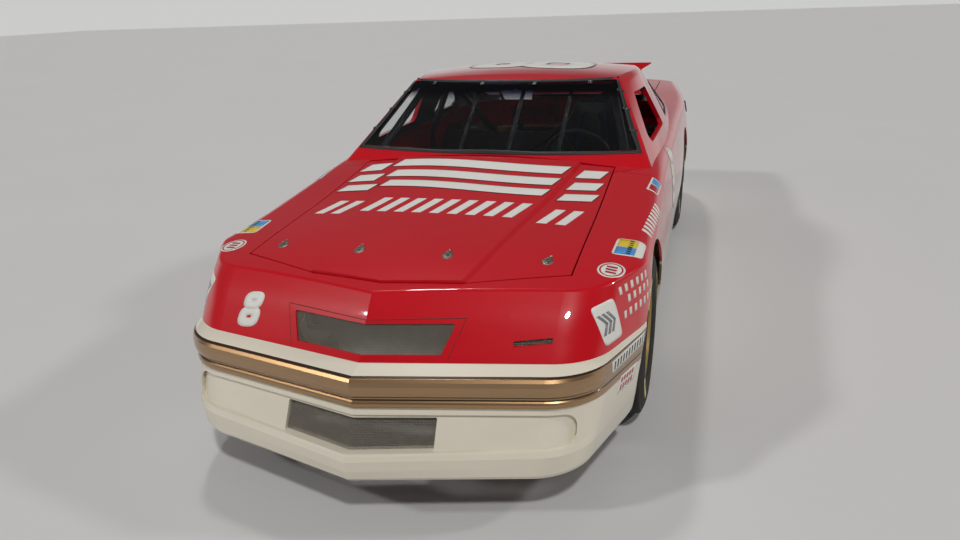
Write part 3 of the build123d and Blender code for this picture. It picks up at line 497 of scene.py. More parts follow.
def eight_shape(height, stroke, grow=0.0):
    """The numeral 8: a larger lower ring and a smaller upper one that share a bar; grow widens the stroke."""
    half = height * 0.31
    low, high = height * 0.285, height * 0.250
    return joined([ring_shape(half + grow, low + grow, stroke + 2 * grow, low - height / 2),
                   ring_shape(half * 0.92 + grow, high + grow, stroke + 2 * grow, height / 2 - high)])


def slanted_bars(half_x, half_y, count, stroke, slant=0.25):
    """A row of slanted bars."""
    spots = np.linspace(-half_x, half_x, count)
    return joined([bar_shape(x - stroke / 2, x + stroke / 2, -half_y, half_y, slant, 4, 4) for x in spots])


def chevrons(half_x, half_y, count, stroke):
    """Chevrons side by side, each two slanted bars that meet on the middle line."""
    parts = []
    for x in np.linspace(-half_x, half_x, count):
        parts.append(bar_shape(x, x + stroke, 0, half_y, -0.7, 4, 4))
        parts.append(bar_shape(x, x + stroke, -half_y, 0, 0.7, 4, 4))
    return joined(parts)


def moved(shape, x, y):
    """A flat shape moved."""
    points, faces = shape
    return np.asarray(points, float).reshape(-1, 3) + [x, y, 0], faces


def leaned(shape, slant):
    """A flat shape whose upper part is pushed sideways by slant times its height."""
    points, faces = shape
    points = np.asarray(points, float).reshape(-1, 3).copy()
    points[:, 0] += slant * points[:, 1]
    return points, faces


def even_outline(corners, per_side):
    """Points spread evenly along each side of a closed outline, so that it can bend with what it lies on."""
    corners = np.asarray(corners, float)
    share = np.arange(per_side)[None, :, None] / per_side
    sides = corners[:, None] + (np.roll(corners, -1, 0) - corners)[:, None] * share
    return sides.reshape(-1, 2)


def grown_outline(corners, outward):
    """An outline whose sides are moved outward; each new corner is where two moved sides meet."""
    corners = np.asarray(corners, float)
    ahead = unit(np.roll(corners, -1, 0) - corners)
    normal = np.stack([ahead[:, 1], -ahead[:, 0]], axis=1)
    before = np.roll(normal, 1, 0)
    return corners + outward * (normal + before) / (1 + (normal * before).sum(1))[:, None]


def border_shape(corners, outward, inward, per_side, across=5):
    """A strip along a closed outline that runs anticlockwise, from outward of it to inward of it."""
    offsets = np.linspace(outward, -inward, across)
    flat = np.stack([even_outline(grown_outline(corners, offset), per_side) for offset in offsets], axis=1)
    return level(flat[..., 0], flat[..., 1]), grid_faces(len(flat), across, True)


def line_shape(path, width, per_side=20):
    """A strip of even width along an open path of straight runs."""
    path = np.asarray(path, float)
    share = np.arange(per_side)[None, :, None] / per_side
    run = path[:-1, None] + (path[1:] - path[:-1])[:, None] * share
    run = np.vstack([run.reshape(-1, 2), path[-1:]])
    ahead = unit(np.gradient(run, axis=0))
    half = np.array([-0.5, 0.5])[None, :, None] * width
    flat = run[:, None] + np.stack([-ahead[:, 1], ahead[:, 0]], axis=1)[:, None] * half
    return level(flat[..., 0], flat[..., 1]), grid_faces(len(run), 2)


# Wheels
BEAD, WALL_TOP = 0.203, 0.328
SHOULDER_REACH, SHOULDER_WIDTH, SHOULDER_RISE, TREAD_EDGE, TREAD_CROWN = 0.1125, 0.0175, 0.019, 0.105, 0.0019
MARK_SPAN, MARK_INNER, MARK_OUTER = 0.55, 0.262, 0.288
NUT_SECTION = [(0.0001, 0.020), (0.006, 0.020), (0.0125, 0.017), (0.0125, 0.002), (0.014, -0.003)]
NUT_CIRCLE, NUT_SEAT = 0.057, 0.0525
CAP_SECTION = [(0.0001, 0.075), (0.014, 0.074), (0.026, 0.068), (0.031, 0.058), (0.032, 0.040)]


def wheel_centre(name):
    """The middle of a wheel, which stands on the floor: it is half as high as the tyre's top."""
    low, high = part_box(f"{name}_tyre")
    return np.array([(low.x + high.x) / 2, (low.y + high.y) / 2, high.z / 2])


def wall_reach(share):
    """How far the tyre's bulged wall stands out from its middle plane, from bead (0) to shoulder (1)."""
    return 0.121 + 0.0205 * np.sin(np.pi * share**0.85) ** 0.8 + 0.008 * share


def tyre_profile():
    """The tyre's section as (radius, x): bead, bulged wall, rounded shoulder and nearly flat slick tread."""
    wall = np.linspace(0, 1, 14)
    radius = BEAD + 0.004 + (WALL_TOP - BEAD) * wall
    ribs = 0.0012 * (np.abs(radius - 0.225) < 0.004) + 0.0010 * (np.abs(radius - 0.318) < 0.003)
    turn = np.linspace(0.15, 1.35, 7)
    shoulder = np.stack([WALL_TOP + SHOULDER_RISE * np.sin(turn),
                         SHOULDER_REACH + SHOULDER_WIDTH * np.cos(turn)], axis=1)
    tread_x = np.linspace(TREAD_EDGE, 0, 6)
    tread = np.stack([0.3480 + TREAD_CROWN * (1 - (tread_x / TREAD_EDGE) ** 2), tread_x], axis=1)
    side_wall = np.stack([radius, wall_reach(wall) + ribs], axis=1)
    half = np.vstack([[[BEAD - 0.004, 0.118]], side_wall, shoulder, tread])
    return np.vstack([half, half[-2::-1] * [1, -1]])


def wheel_pieces(name, side):
    """A slick tyre with its wall marks, and the nuts and hub cap of its wheel."""
    centre, body = wheel_centre(name), f"{name}_wheel"
    add_piece(f"{name}_slick_tyre", *spun(tyre_profile(), 128, centre, 0), TYRE_RUBBER, "tyre", body,
              stands_for=[f"{name}_tyre"])
    marks = []
    for quarter_turns in range(4):
        start = 0.3 + quarter_turns * np.pi / 2
        angle = np.linspace(start, start + MARK_SPAN, 24)[:, None]
        radius = np.linspace(MARK_INNER, MARK_OUTER, 4)[None, :]
        out = wall_reach((radius - BEAD - 0.004) / (WALL_TOP - BEAD)) + 0.0006
        out = np.broadcast_to(side * out, (24, 4))
        flat = np.stack([out, radius * np.cos(angle), radius * np.sin(angle)], axis=2)
        marks.append((flat + centre, grid_faces(24, 4)))
    add_piece(f"{name}_tyre_marks", *joined(marks), TYRE_MARK, body=body)
    nuts = []
    for k in range(5):
        angle = 2 * np.pi * k / 5 + 0.3
        spot = centre + [side * NUT_SEAT, NUT_CIRCLE * np.cos(angle), NUT_CIRCLE * np.sin(angle)]
        nuts.append(spun([(r, side * h) for r, h in NUT_SECTION], 6, spot, 0))
    nuts.append(spun([(r, side * h) for r, h in CAP_SECTION], 40, centre, 0))
    add_piece(f"{name}_nuts_and_cap", *joined(nuts), BARE_STEEL, "bare_steel", body, smooth=False)


# Woven screens in the two mouths of the nose and in its duct slot
PITCH, WIRE, WIRE_SIDES = 0.0046, 0.0017, 4
UPPER_LOW, UPPER_HIGH = (corner.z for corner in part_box("upper_grille"))
UPPER_HALF_LOW, UPPER_HALF_HIGH = 0.272, 0.310
UPPER_SPREAD = (UPPER_HALF_HIGH - UPPER_HALF_LOW) / (UPPER_HIGH - UPPER_LOW)
SLOT_START, SLOT_END, SLOT_LOW, SLOT_HIGH, SLOT_TALL = 0.508, 0.638, 0.592, 0.618, 0.017
SLOT_CLIMB, SLOT_END_LOW, SLOT_END_SLANT = 10 / 130, 0.602, 3.6
HEADER_HEIGHTS, HEADER_LEANS = (0.545, 0.600, 0.660, 0.705, 0.760), (0.095, 0.131, 0.172, 0.208, 0.256)
HEADER_SKIN, HEADER_SWEEP = 0.0078, 0.218
COVER_HEIGHTS, COVER_LEANS, COVER_SWEEPS = (0.278, 0.290, 0.392), (-0.072, -0.058, 0.012), (0.28, 0.27, 0.225)
COVER_SKIN = 0.030


def woven(shape, surface, x_half, z_low, z_high):
    """Crossed wires that pass over and under each other: depth = +-0.55 wire cos(pi position / pitch)."""
    parts = []
    angle = np.linspace(0, 2 * np.pi, WIRE_SIDES, endpoint=False)
    across, out = WIRE / 2 * np.cos(angle), WIRE / 2 * np.sin(angle)
    for upright in (False, True):
        first, last = (-x_half, x_half) if upright else (z_low, z_high)
        spots = np.arange(first + PITCH / 2, last, PITCH)
        low, high = shape(spots, upright)
        keep = high - low > PITCH / 2
        spots, low, high = spots[keep], low[keep], high[keep]
        steps = int(max(high - low) / PITCH * 2) + 2
        run = low[:, None] + (high - low)[:, None] * np.linspace(0, 1, steps)
        number = np.round(spots / PITCH)[:, None]
        sway = WIRE * 0.55 * np.cos(np.pi * (run / PITCH + number)) * (1 if upright else -1)
        fixed = np.broadcast_to(spots[:, None], run.shape)
        x, z = (fixed, run) if upright else (run, fixed)
        ring_x = x[..., None] + (across if upright else 0)
        ring_z = z[..., None] + (0 if upright else across)
        ring_y = surface(np.broadcast_to(x[..., None], ring_x.shape), z[..., None]) + sway[..., None] + out
        rings = np.stack(np.broadcast_arrays(ring_x, ring_y, ring_z), axis=3)
        faces = grid_faces(steps, WIRE_SIDES, False, True)
        parts += [(ring, faces) for ring in rings]
    return joined(parts)


def upper_mouth(spots, upright):
    """The upper mouth's edges: level top and bottom, and sides that spread upward."""
    if upright:
        low = np.maximum(UPPER_LOW, UPPER_LOW + (np.abs(spots) - UPPER_HALF_LOW) / UPPER_SPREAD)
        return low, UPPER_HIGH + 0 * spots
    half = UPPER_HALF_LOW + (spots - UPPER_LOW) * UPPER_SPREAD
    return -half, half


def upper_face(x, z):
    """The header panel's slope behind its skin: it leans back with height and sweeps back from the centre."""
    lean = np.interp(z, HEADER_HEIGHTS, HEADER_LEANS)
    return NOSE + lean + HEADER_SKIN + np.abs(x) * HEADER_SWEEP


def lower_mouth(spots, upright):
    """The lower mouth is a plain rectangle."""
    low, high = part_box("lower_grille")
    first, last = (low.z, high.z) if upright else (low.x, high.x)
    return first + 0 * spots, last + 0 * spots


def lower_face(x, z):
    """The bumper cover's face behind its skin: it leans back with height and sweeps from the centre."""
    sweep = np.interp(z, COVER_HEIGHTS, COVER_SWEEPS)
    return NOSE + np.interp(z, COVER_HEIGHTS, COVER_LEANS) + COVER_SKIN + np.abs(x) * sweep


def slot_mouth(spots, upright):
    """The small duct slot in the left headlamp cover, which climbs outward."""
    if upright:
        low = SLOT_LOW + (spots - SLOT_START) * SLOT_CLIMB
        inside = (spots > SLOT_START) & (spots < SLOT_END)
        return np.where(inside, low, 0), np.where(inside, low + SLOT_TALL, 0)
    start = SLOT_START + np.maximum(0, spots - SLOT_LOW - SLOT_TALL) / SLOT_CLIMB
    return start, SLOT_END - np.maximum(0, SLOT_END_LOW - spots) * SLOT_END_SLANT


def woven_screens():
    """The screens of the upper mouth and the duct slot, as one piece, and of the lower mouth."""
    screens = [woven(upper_mouth, upper_face, UPPER_HALF_HIGH, UPPER_LOW, UPPER_HIGH),
               woven(slot_mouth, upper_face, SLOT_END, SLOT_LOW, SLOT_HIGH)]
    add_piece("upper_woven_screen", *joined(screens), SCREEN_WIRE, "mesh", stands_for=["upper_grille"])
    low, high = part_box("lower_grille")
    screen = woven(lower_mouth, lower_face, high.x, low.z, high.z)
    add_piece("lower_woven_screen", *screen, SCREEN_WIRE, "mesh", stands_for=["lower_grille"])


# Graphics on the paint: plain stripes, bars and numerals, each layer this much above the one below
LAYER = 0.0007
NUMERAL_LEAN = 0.12
STRIPES_MIDDLE, STRIPE_END, STRIPE_LEAN, STRIPE_SWAY, STRIPE_WAVE = -1.07, 0.625, 0.30, 0.026, 0.63
HOOD_STRIPES = (
    # y of the middle line, half the length between the bulge's edges, where the outer parts start, width
    (-0.925, 0.445, 0.508, 0.098),
    (-1.075, 0.425, 0.490, 0.088),
    (-1.210, 0.405, 0.470, 0.078),
)


def graphic(name, spot, outward, across, layers, targets, lift=LAYER, body="chassis"):
    """Flat shapes in layers, each a little above the one below, laid on the paint round a spot."""
    seat = seat_frame(spot, outward, across)
    for k, (shape, material) in enumerate(layers):
        sticker(f"{name}_{k}", shape, seat, material, targets, lift + LAYER * k, LAYER * 0.8, body=body)


def swept_stripes(grow):
    """Three stripes that break at the bulge's step, each lowered by sway sin(pi x / wave) along it."""
    parts = []
    for y, inner, outer, width in HOOD_STRIPES:
        half = width / 2 + grow
        for x0, x1, steps in ((-STRIPE_END, -outer, 24), (-inner, inner, 130), (outer, STRIPE_END, 24)):
            points, faces = bar_shape(x0 - grow, x1 + grow, -half, half, STRIPE_LEAN, steps, 12)
            points = points + [0, y - STRIPES_MIDDLE, 0]
            points[..., 1] -= STRIPE_SWAY * np.sin(np.pi * points[..., 0] / STRIPE_WAVE)
            parts.append((points, faces))
    return joined(parts)


def hood_graphics():
    """Swept white stripes with dark edges across the back of the hood, and slanted bars ahead of them."""
    for layer, (grow, material) in enumerate(((0.005, BLACK_VINYL), (0.0, WHITE_VINYL))):
        graphic(f"hood_stripes_{layer}", (0, STRIPES_MIDDLE, 0.85), UP, ACROSS,
                [(swept_stripes(grow), material)], ["hood"], 0.0012 + LAYER * layer, "hood")
    spots = [-0.555, -0.474, *(0.082 * k for k in range(-4, 5)), 0.474, 0.555]
    bars = joined([bar_shape(x - 0.022, x + 0.022, -0.085, 0.085, STRIPE_LEAN, 14, 30) for x in spots])
    graphic("hood_bars", (0, -1.46, 0.83), UP, ACROSS, [(bars, WHITE_VINYL)], ["hood"], 0.0014, "hood")


def edged_eight(height, stroke, edge):
    """A leaning white 8 on a slightly wider black one."""
    return [(leaned(eight_shape(height, stroke, edge), NUMERAL_LEAN), BLACK_VINYL),
            (leaned(eight_shape(height, stroke), NUMERAL_LEAN), WHITE_VINYL)]


def numerals():
    """The plain numeral 8 on the right headlamp cover, both doors and the roof."""
    points, faces = eight_shape(0.138, 0.034)
    small = leaned((points * [1.18, 1, 1], faces), NUMERAL_LEAN)
    graphic("nose_numeral", (-0.515, -2.236, 0.632), (-0.165, -0.77, 0.62), ACROSS, [(small, WHITE_VINYL)],
            ["header_panel"])
    for name, side in SIDES:
        graphic(f"{name}_door_numeral", (side * 0.90, -0.235, 0.722), (side, 0, 0), (0, side, 0),
                edged_eight(0.310, 0.066, 0.009), [f"{name}_door"])
    graphic("roof_numeral", (0, 0.27, 1.29), UP, BACKWARD, edged_eight(0.78, 0.150, 0.016), ["roof"])


def side_graphics(name, side):
    """Plain squares, discs and bars on one front fender and one corner of the nose."""
    fender = [f"{name}_fender"]

    def lay(what, spot, outward, layers, targets, across=(0, side, 0)):
        """Lays one graphic, whose place and outward direction are given for the left side."""
        spot, outward = (side * spot[0], *spot[1:]), (side * outward[0], *outward[1:])
        graphic(f"{name}_{what}", spot, outward, across, layers, targets)

    lay("corner_square", (0.800, -2.082, 0.632), (0.70, -0.60, 0.38),
        [(filled_shape(0.056, 0.070), WHITE_VINYL), (chevrons(0.022, 0.036, 3, 0.014), GREY_VINYL)],
        ["header_panel"], (side * 0.64, 0.76, 0.14))
    lay("fender_disc", (0.790, -1.915, 0.77), (0.25, -0.25, 1),
        [(filled_shape(0.060, 0.050, 2.0), WHITE_VINYL),
         (ring_shape(0.052, 0.043, 0.006, power=1.0), RED_VINYL),
         (slanted_bars(0.022, 0.020, 3, 0.012, 0.15), RED_VINYL)], [*fender, "header_panel"])
    lay("fender_square", (0.832, -1.700, 0.78), (0.45, -0.1, 0.9),
        [(filled_shape(0.078, 0.056), WHITE_VINYL),
         (bar_shape(-0.070, -0.002, -0.024, 0.048, 0, 4, 6), BLUE_VINYL),
         (bar_shape(0.004, 0.070, -0.024, 0.048, 0, 4, 6), YELLOW_VINYL),
         (slanted_bars(0.058, 0.008, 7, 0.009), BLACK_VINYL)], [*fender, "header_panel"])
    rows = [moved(slanted_bars(half, 0.013, count, 0.016), x, y) for x, y, half, count in (
        (-0.010, 0.055, 0.090, 6), (0.010, 0.016, 0.075, 5), (0.000, -0.030, 0.110, 7))]
    lay("fender_bars", (0.893, -1.895, 0.665), (0.96, -0.24, 0.12), [(joined(rows), WHITE_VINYL)],
        [*fender, "header_panel"])
    lay("band_strip", (0.868, -2.020, 0.497), (0.93, -0.33, 0.05),
        [(bar_shape(-0.140, 0.140, -0.022, 0.022, 0, 24, 6), WHITE_VINYL),
         (slanted_bars(0.118, 0.014, 11, 0.010), BLACK_VINYL)], ["front_fascia"])
    rows = [moved(slanted_bars(0.045, 0.009, 5, 0.013, 0.3), x, y) for x, y in ((0, 0.014), (-0.006, -0.015))]
    lay("cover_sign", (0.866, -2.015, 0.388), (0.93, -0.33, -0.08),
        [(bar_shape(-0.070, 0.075, -0.034, 0.034, 0.3, 12, 6), WHITE_VINYL), (joined(rows), RED_VINYL)],
        ["front_fascia"])
    lay("crest_bars", (0.890, -1.335, 0.79), (0.75, -0.05, 0.65),
        [(slanted_bars(0.165, 0.024, 9, 0.024), WHITE_VINYL)], fender)
    lay("crest_sign", (0.868, -0.955, 0.845), (0.60, -0.05, 0.8),
        [(bar_shape(-0.085, 0.085, -0.030, 0.030, 0.1, 12, 6), WHITE_VINYL),
         (bar_shape(-0.074, -0.004, -0.022, 0.022, 0.1, 6, 4), RED_VINYL),
         (bar_shape(0.006, 0.074, -0.022, 0.022, 0.1, 6, 4), BLUE_VINYL)], fender)


def panel_lines():
    """A dark hairline round the grille's surround."""
    height = 0.60
    surround = [(-0.299, 0.560), (-0.343, 0.674), (0.0, 0.670), (0.343, 0.674), (0.299, 0.560)]
    line = line_shape([(x, z - height) for x, z in surround], 0.0022)
    seat = seat_frame((0, -2.6, height), FORWARD, ACROSS)
    sticker("nose_seams", line, seat, SEAM_DARK, ["header_panel"], 0.0004, 0.0003, stands_off=0.1)


# Pins of the hood and the deck lid
PLATE_SECTION = [(0.0001, 0.0030), (0.012, 0.0030), (0.019, 0.0022), (0.0225, 0.0010), (0.0230, -0.002),
                 (0.0001, -0.002)]
STUD_SECTION = [(0.0001, 0.017), (0.0034, 0.0162), (0.0046, 0.013), (0.0046, 0.001)]
PLATE_SCREW_SECTION = [(0.0001, 0.0040), (0.0026, 0.0034), (0.0032, 0.0018)]
CLIP_HEIGHT, CLIP_WIRE = 0.0095, 0.0013

# Each pin's x, y and turn
HOOD_PINS = ((-0.553, -1.903, 0.2), (-0.181, -1.960, 0.1), (0.181, -1.960, 0.1), (0.553, -1.903, -0.1))
DECK_PINS = ((-0.52, 2.32, 0.0), (-0.18, 2.35, 0.0), (0.18, 2.35, 0.0), (0.52, 2.32, 0.0))


def pin_parts(spot, outward, turn):
    """An oval scuff plate, longer fore and aft, with a stud and its clip: (plate parts, wire parts)."""
    seat = seat_frame(spot, outward, (np.cos(turn), np.sin(turn), 0))
    plates = [spun(PLATE_SECTION, 32, squeeze=(0.95, 1.35)), spun(STUD_SECTION, 14)]
    plates += [spun(PLATE_SCREW_SECTION, 10, (0, y, 0)) for y in (-0.023, 0.023)]
    t = np.linspace(0, 1, 26)
    around = np.linspace(0, 2 * np.pi, 22)
    clip = [0.0055 * np.sin(2.2 * np.pi * t), -0.020 + 0.042 * t, CLIP_HEIGHT + 0.001 * np.cos(7 * t)]
    loop = [0.0055 * np.sin(around) + 0.003, 0.0265 + 0.0055 * np.cos(around), CLIP_HEIGHT + 0 * around]
    wires = [tube(np.stack(path, axis=1), CLIP_WIRE, 6) for path in (clip, loop)]
    return [seated(part, seat) for part in plates], [seated(part, seat) for part in wires]


def lid_pins(name, body, spots):
    """The pins that hold one lid shut; spots are (x, y, turn)."""
    plates, wires = [], []
    for x, y, turn in spots:
        spot, normal = on_surface([body], (x, y, 1.4), (0, 0, -1))
        more_plates, more_wires = pin_parts(spot, normal, turn)
        plates += more_plates
        wires += more_wires
    add_piece(f"{name}_pin_plates", *joined(plates), SCUFF_PLATE, "bare_steel", body)
    add_piece(f"{name}_pin_wires", *joined(wires), BARE_STEEL, "bare_steel", body)


# Glass borders
RUBBER_SECTION = [(0.013, -0.0015), (0.012, 0.0022), (0.007, 0.0040), (0.000, 0.0044), (-0.008, 0.0034),
                  (-0.015, 0.0004), (-0.017, -0.0050), (-0.014, -0.0075), (0.0, -0.0060)]
BEAD_POINTS, BEAD_RIM = 36, 0.012


def bead(name, corners, seat, targets, profile=RUBBER_SECTION, edge=0.006):
    """A rubber moulding round a pane: its section (outward, off the surface) follows what carries it."""
    inner = even_outline(grown_outline(corners, edge), BEAD_POINTS)
    outer = even_outline(grown_outline(corners, edge + BEAD_RIM), BEAD_POINTS)
    flat = np.stack([inner, outer], axis=1)
    pairs = level(flat[..., 0], flat[..., 1])
    landed, _ = dropped_points(pairs, grid_faces(len(inner), 2, True), seat, targets, 0.0, 0.0)
    lines = stood_on(landed, seat).reshape(-1, 2, 3)
    middle = lines[:, 0]
    outward = unit(lines[:, 1] - middle)
    ahead = unit(np.roll(middle, -1, 0) - np.roll(middle, 1, 0))
    off = unit(np.cross(ahead, outward))
    off *= np.sign(off @ np.array(seat.to_3x3())[:, 2])[:, None]
    a, b = np.asarray(profile, float).T
    rings = middle[:, None] + (a - edge)[None, :, None] * outward[:, None] + b[None, :, None] * off[:, None]
    add_piece(name, rings, grid_faces(len(middle), len(a), True, True), TRIM, "trim")


def glass_borders():
    """Rubber borders round the windshield, the rear window and the quarter windows."""
    screen = [(-0.762, 0.948), (0.762, 0.948), (0.588, 1.254), (-0.588, 1.254)]
    bead("windshield_rubber", screen, seat_frame((0, -1.2, 0), FORWARD, ACROSS), ["roof", "cowl_panel"])
    back = [(-0.612, 0.985), (0.612, 0.985), (0.512, 1.226), (-0.512, 1.226)]
    seat = seat_frame((0, 1.9, 0), BACKWARD, (-1, 0, 0))
    bead("rear_window_rubber", back, seat, ["roof", "rear_deck_panel"])
    small = [(a * 0.6, b * 0.6) for a, b in RUBBER_SECTION]
    for name, side in SIDES:
        quarter = [(0.540, 0.950), (1.000, 0.955), (0.650, 1.150), (0.540, 1.152)]
        if side < 0:
            quarter = [(-y, z) for y, z in quarter][::-1]
        seat = seat_frame((side * 1.2, 0, 0), (side, 0, 0), (0, side, 0))
        bead(f"{name}_quarter_rubber", quarter, seat, ["roof", f"{name}_quarter"], small, 0.004)


# Inside the cabin
SEAT_X = 0.40
SEAT_ROWS = np.array([
    # share of the way up, y, z, half width, wing, how much of the wing leans forward instead of up
    (0.00, -0.165, 0.385, 0.190, 0.060, 0.00),
    (0.22, 0.000, 0.362, 0.196, 0.100, 0.10),
    (0.40, 0.105, 0.360, 0.200, 0.120, 0.40),
    (0.52, 0.152, 0.430, 0.200, 0.130, 0.85),
    (0.70, 0.180, 0.690, 0.196, 0.120, 1.00),
    (0.86, 0.198, 0.930, 0.165, 0.055, 1.00),
    (1.00, 0.210, 1.085, 0.105, 0.030, 1.00),
]).T
SEAT_PADS = (
    # name, where it starts and ends on the shell, sewn channels, swell
    ("seat_cushion", 0.03, 0.40, 5, 0.034),
    ("seat_back_pad", 0.47, 0.97, 7, 0.040),
)
SHEET_STEEL, PAD_BASE = 0.004, 0.004
PAD_ROUND_ACROSS, PAD_ROUND_ALONG, SEWN_DEPTH = 0.16, 0.07, 0.30
BELT_PLACES, BELT_HALF, BELT_THICK = (-0.075, 0.075), 0.024, 0.002
DIALS = (
    # x, z, radius
    (0.30, 0.79, 0.030),
    (0.375, 0.80, 0.036),
    (0.46, 0.80, 0.036),
    (0.535, 0.79, 0.030),
    (0.22, 0.78, 0.026),
)
SWITCH_SECTION = [(0.0001, 0.024), (0.0028, 0.023), (0.0035, 0.010), (0.008, 0.003), (0.0085, -0.001)]


def shell_surface(u, v):
    """The seat shell: v climbs from the cushion's front edge to the top, u runs across to raised wings."""
    y, z, half, wing, lean = (np.interp(v, SEAT_ROWS[0], row) for row in SEAT_ROWS[1:])
    rise = np.abs(u) ** 5
    return np.stack([SEAT_X + half * u, y - wing * rise * lean, z + wing * rise * (1 - lean)], axis=2)


def seat_pieces():
    """A wrap-round metal seat shell, two crowned cloth pads sewn in channels, and two shoulder belts."""
    u, v = np.meshgrid(np.linspace(-1, 1, 33), np.linspace(0, 1, 61), indexing="ij")
    shell = add_piece("seat_shell", shell_surface(u, v), grid_faces(33, 61), BLACK_STEEL, "black_steel",
                      stands_for=["driver_seat"])
    thicken(shell, SHEET_STEEL, 1.0)
    a, b = np.meshgrid(np.linspace(-1, 1, 49), np.linspace(0, 1, 73), indexing="ij")
    edge = np.clip((1 - np.abs(a)) / PAD_ROUND_ACROSS, 0, 1)
    edge *= np.clip(np.minimum(b, 1 - b) / PAD_ROUND_ALONG, 0, 1)
    for name, low, high, channels, swell in SEAT_PADS:
        base = shell_surface(a * 0.90, low + (high - low) * b)
        normal = unit(np.cross(np.gradient(base, axis=1), np.gradient(base, axis=0)))
        sewn = 1 - SEWN_DEPTH * np.abs(np.cos(np.pi * channels * b)) ** 12
        height = PAD_BASE + swell * np.sqrt(edge) * sewn
        pad = add_piece(name, base + normal * height[..., None], grid_faces(49, 73), SEAT_CLOTH, "seat_cloth")
        thicken(pad, PAD_BASE, -1.0)
    belts = []
    for x in BELT_PLACES:
        path = shell_surface(np.full((1, 30), x / 0.18), np.linspace(0.93, 0.42, 30)[None, :])[0]
        path = path + np.array([0, -0.052, 0.010])
        side = np.array([[-BELT_HALF, 0, 0], [0, 0, 0], [BELT_HALF, 0, 0]])
        belts.append((path[:, None] + side[None], grid_faces(30, 3)))
    belt = add_piece("shoulder_belts", *joined(belts), BELT_CLOTH)
    thicken(belt, BELT_THICK, -1.0)


def dash_pieces():
    """Round dials with pale rims on the driver's side of the dash, and a row of switches beside them."""
    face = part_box("dash_panel")[1].y
    dials, rims = [], []
    for x, z, radius in DIALS:
        rim = [(radius * 0.9, 0.004), (radius, 0.009), (radius * 1.10, 0.006), (radius * 1.14, -0.001)]
        dials.append(spun([(0.0001, 0.003), (radius * 0.9, 0.003)], 28, (x, face, z), 1))
        rims.append(spun(rim, 28, (x, face, z), 1))
    switches = [spun(SWITCH_SECTION, 12, (-0.02 + 0.032 * k, face, 0.785), 1) for k in range(6)]
    add_piece("dash_dial_faces", *joined(dials), DIAL_FACE)
    add_piece("dash_dial_rims", *joined(rims), ALUMINIUM, "aluminium")
    add_piece("dash_switches", *joined(switches), BARE_STEEL, "bare_steel")


# Tail, rear wheel houses and windshield tabs
LAMP_OUTLINES = ([(-0.725, 0.618), (-0.330, 0.618), (-0.330, 0.735), (-0.745, 0.735)],
                 [(0.330, 0.618), (0.725, 0.618), (0.745, 0.735), (0.330, 0.735)])
FILLER_PLATE = [(0.0001, 0.004), (0.062, 0.004), (0.078, 0.0030), (0.083, 0.0010), (0.0835, -0.002)]
FILLER_NECK = [(0.0001, 0.010), (0.030, 0.010), (0.034, 0.016), (0.043, 0.016), (0.046, 0.010),
               (0.047, 0.003)]
LIP_RADIUS, LIP_START, LIP_SPREAD, QUARTER_SKIN = 0.403, 0.866, 0.27, 0.9125
TAB_TOP, TAB_PLACES, TAB_HEIGHTS = 1.247, (-0.45, -0.15, 0.15, 0.45), (1.03, 1.12, 1.20)
SCREEN_HEIGHTS, SCREEN_HALVES = (0.948, 1.254), (0.765, 0.587)
TAB_SCREW_SECTION = [(0.0001, 0.004), (0.003, 0.0034), (0.0042, 0.0012), (0.0042, -0.001)]


def tail_pieces():
    """Dark rims round the tail lamps, ribs on the lenses, the fuel filler and its dry-break neck."""
    seat = seat_frame((0, 2.8, 0), BACKWARD, (-1, 0, 0))
    rims = joined([border_shape(lamp, 0.012, 0.004, 24) for lamp in LAMP_OUTLINES])
    sticker("tail_lamp_rims", rims, seat, LAMP_RIM, ["rear_fascia", "tail_lamps"], 0.0035, 0.004, "trim",
            stands_off=0)
    ribs = joined([bar_shape(side * 0.345, side * 0.715, z - 0.0012, z + 0.0012, 0, 24, 2)
                   for side in (1, -1) for z in np.arange(0.634, 0.728, 0.0155)])
    sticker("tail_lamp_ribs", ribs, seat, LAMP_RED, ["tail_lamps"], 0.0016, 0.0014, "lamp", stands_off=0)
    spot, normal = on_surface(["left_quarter"], (1.4, 1.98, 0.80), (-1, 0, 0))
    seat = seat_frame(spot, normal, (0, 1, 0))
    add_piece("fuel_filler", *seated(spun(FILLER_PLATE, 48), seat), ALUMINIUM, "aluminium")
    add_piece("fuel_filler_neck", *seated(spun(FILLER_NECK, 40), seat), BLACK_STEEL, "black_steel")


def wheel_house_lips():
    """Flanges from the rear wheel houses out to the quarters: an arc about the axle carried along X."""
    _, axle_y, axle_z = wheel_centre("left_rear")
    around = np.linspace(-LIP_SPREAD, np.pi + LIP_SPREAD, 60)
    share, turn = np.meshgrid(np.linspace(0, 1, 4), around, indexing="ij")
    y, z = axle_y + LIP_RADIUS * np.cos(turn), axle_z + LIP_RADIUS * np.sin(turn)
    skin = QUARTER_SKIN - 0.0105 * np.clip((z - 0.58) / 0.15, 0, 1)
    reach = LIP_START + (skin - LIP_START) * share
    for name, side in SIDES:
        points = np.stack([side * reach, y, z], axis=2)
        lip = add_piece(f"{name}_wheel_house_lip", points, grid_faces(4, 60), GREY_STEEL, "grey_steel")
        thicken(lip, 0.0015, 0.0)


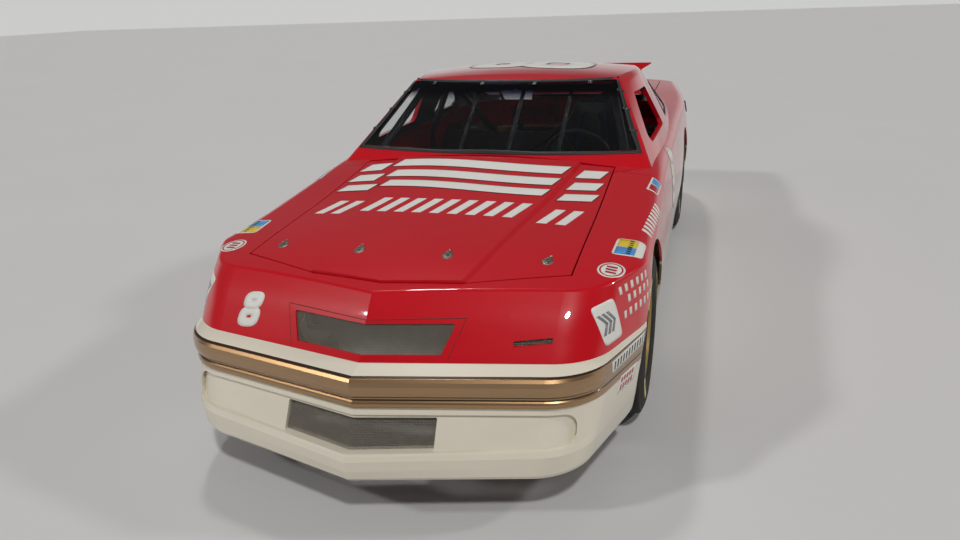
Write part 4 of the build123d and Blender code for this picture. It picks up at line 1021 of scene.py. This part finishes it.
def screen_tabs():
    """Small metal tabs and screws that hold the windshield along its top and sides."""
    tabs, screws = [], []
    spots = [(x, TAB_TOP, 0) for x in TAB_PLACES]
    spots += [(side * np.interp(z, SCREEN_HEIGHTS, SCREEN_HALVES), z, side)
              for _, side in SIDES for z in TAB_HEIGHTS]
    for x, z, side in spots:
        spot, normal = on_surface(["windshield", "roof"], (x, -1.3, z), (0, 1, 0))
        across = (0.25 * side, 0.6, 0.6) if side else ACROSS
        seat = seat_frame(spot + 0.0045 * normal, normal, across)
        tabs.append(seated(filled_shape(0.012, 0.022, 6.0, 7), seat))
        screws.append(seated(spun(TAB_SCREW_SECTION, 12), seat))
    made = add_piece("windshield_tabs", *joined(tabs), BLACK_STEEL, "black_steel")
    thicken(made, 0.002, -1.0)
    add_piece("windshield_tab_screws", *joined(screws), BARE_STEEL, "bare_steel")


for end in ("front", "rear"):
    for side_name, way in SIDES:
        wheel_pieces(f"{side_name}_{end}", way)
woven_screens()
seat_pieces()
dash_pieces()
tail_pieces()
wheel_house_lips()
screen_tabs()
hood_graphics()
numerals()
for side_name, way in SIDES:
    side_graphics(side_name, way)
panel_lines()
lid_pins("hood", "hood", HOOD_PINS)
lid_pins("deck", "deck_lid", DECK_PINS)
glass_borders()


# Floor, light and world
FLOOR_COLOUR, FLOOR_HALF = (0.66, 0.65, 0.635), 60
LAMPS = (
    # where the light comes from, strength
    ((0.35, -0.55, 1.0), 1.15),
    ((-0.95, -0.60, 0.9), 0.66),
    ((1.30, 0.55, 0.9), 0.55),
    ((-0.40, 0.75, 1.3), 0.50),
)
LAMP_DEGREES = 5
SKY = (
    # how high the view looks, colour
    (0.0, (0.60, 0.60, 0.59)),
    (0.10, (0.54, 0.54, 0.54)),
    (0.26, (0.09, 0.09, 0.095)),
    (1.0, (0.07, 0.07, 0.075)),
)


def make_stage():
    """A wide pale floor that takes the car's shadow, soft lamps over it, and a pale horizon all round."""
    corners = [(x * FLOOR_HALF, y * FLOOR_HALF, 0) for x, y in ((-1, -1), (1, -1), (1, 1), (-1, 1))]
    mesh = bpy.data.meshes.new("studio_floor")
    mesh.from_pydata(corners, [], [(0, 1, 2, 3)])
    mesh.materials.append(plain("studio_floor", FLOOR_COLOUR, 0.6, 3, colour_spread=0.02))
    new_object("studio_floor", mesh)
    for k, (spot, strength) in enumerate(LAMPS):
        light = bpy.data.lights.new(f"studio_lamp_{k}", "SUN")
        light.energy, light.angle = strength, np.radians(LAMP_DEGREES)
        aim = (-Vector(spot)).to_track_quat("-Z", "Y").to_matrix().to_4x4()
        new_object(f"studio_lamp_{k}", light).matrix_world = Matrix.Translation(Vector(spot) * 5) @ aim
    world = bpy.data.worlds.new("studio")
    bpy.context.scene.world = world
    world.use_nodes = True
    height = parts_of(world, node(world, "ShaderNodeTexCoord").outputs["Generated"])["Z"]
    background = world.node_tree.nodes["Background"].inputs
    world.node_tree.links.new(ramp(world, height, SKY), background["Color"])
    background["Strength"].default_value = 1.0


make_stage()
bpy.context.scene.view_settings.view_transform = "Standard"
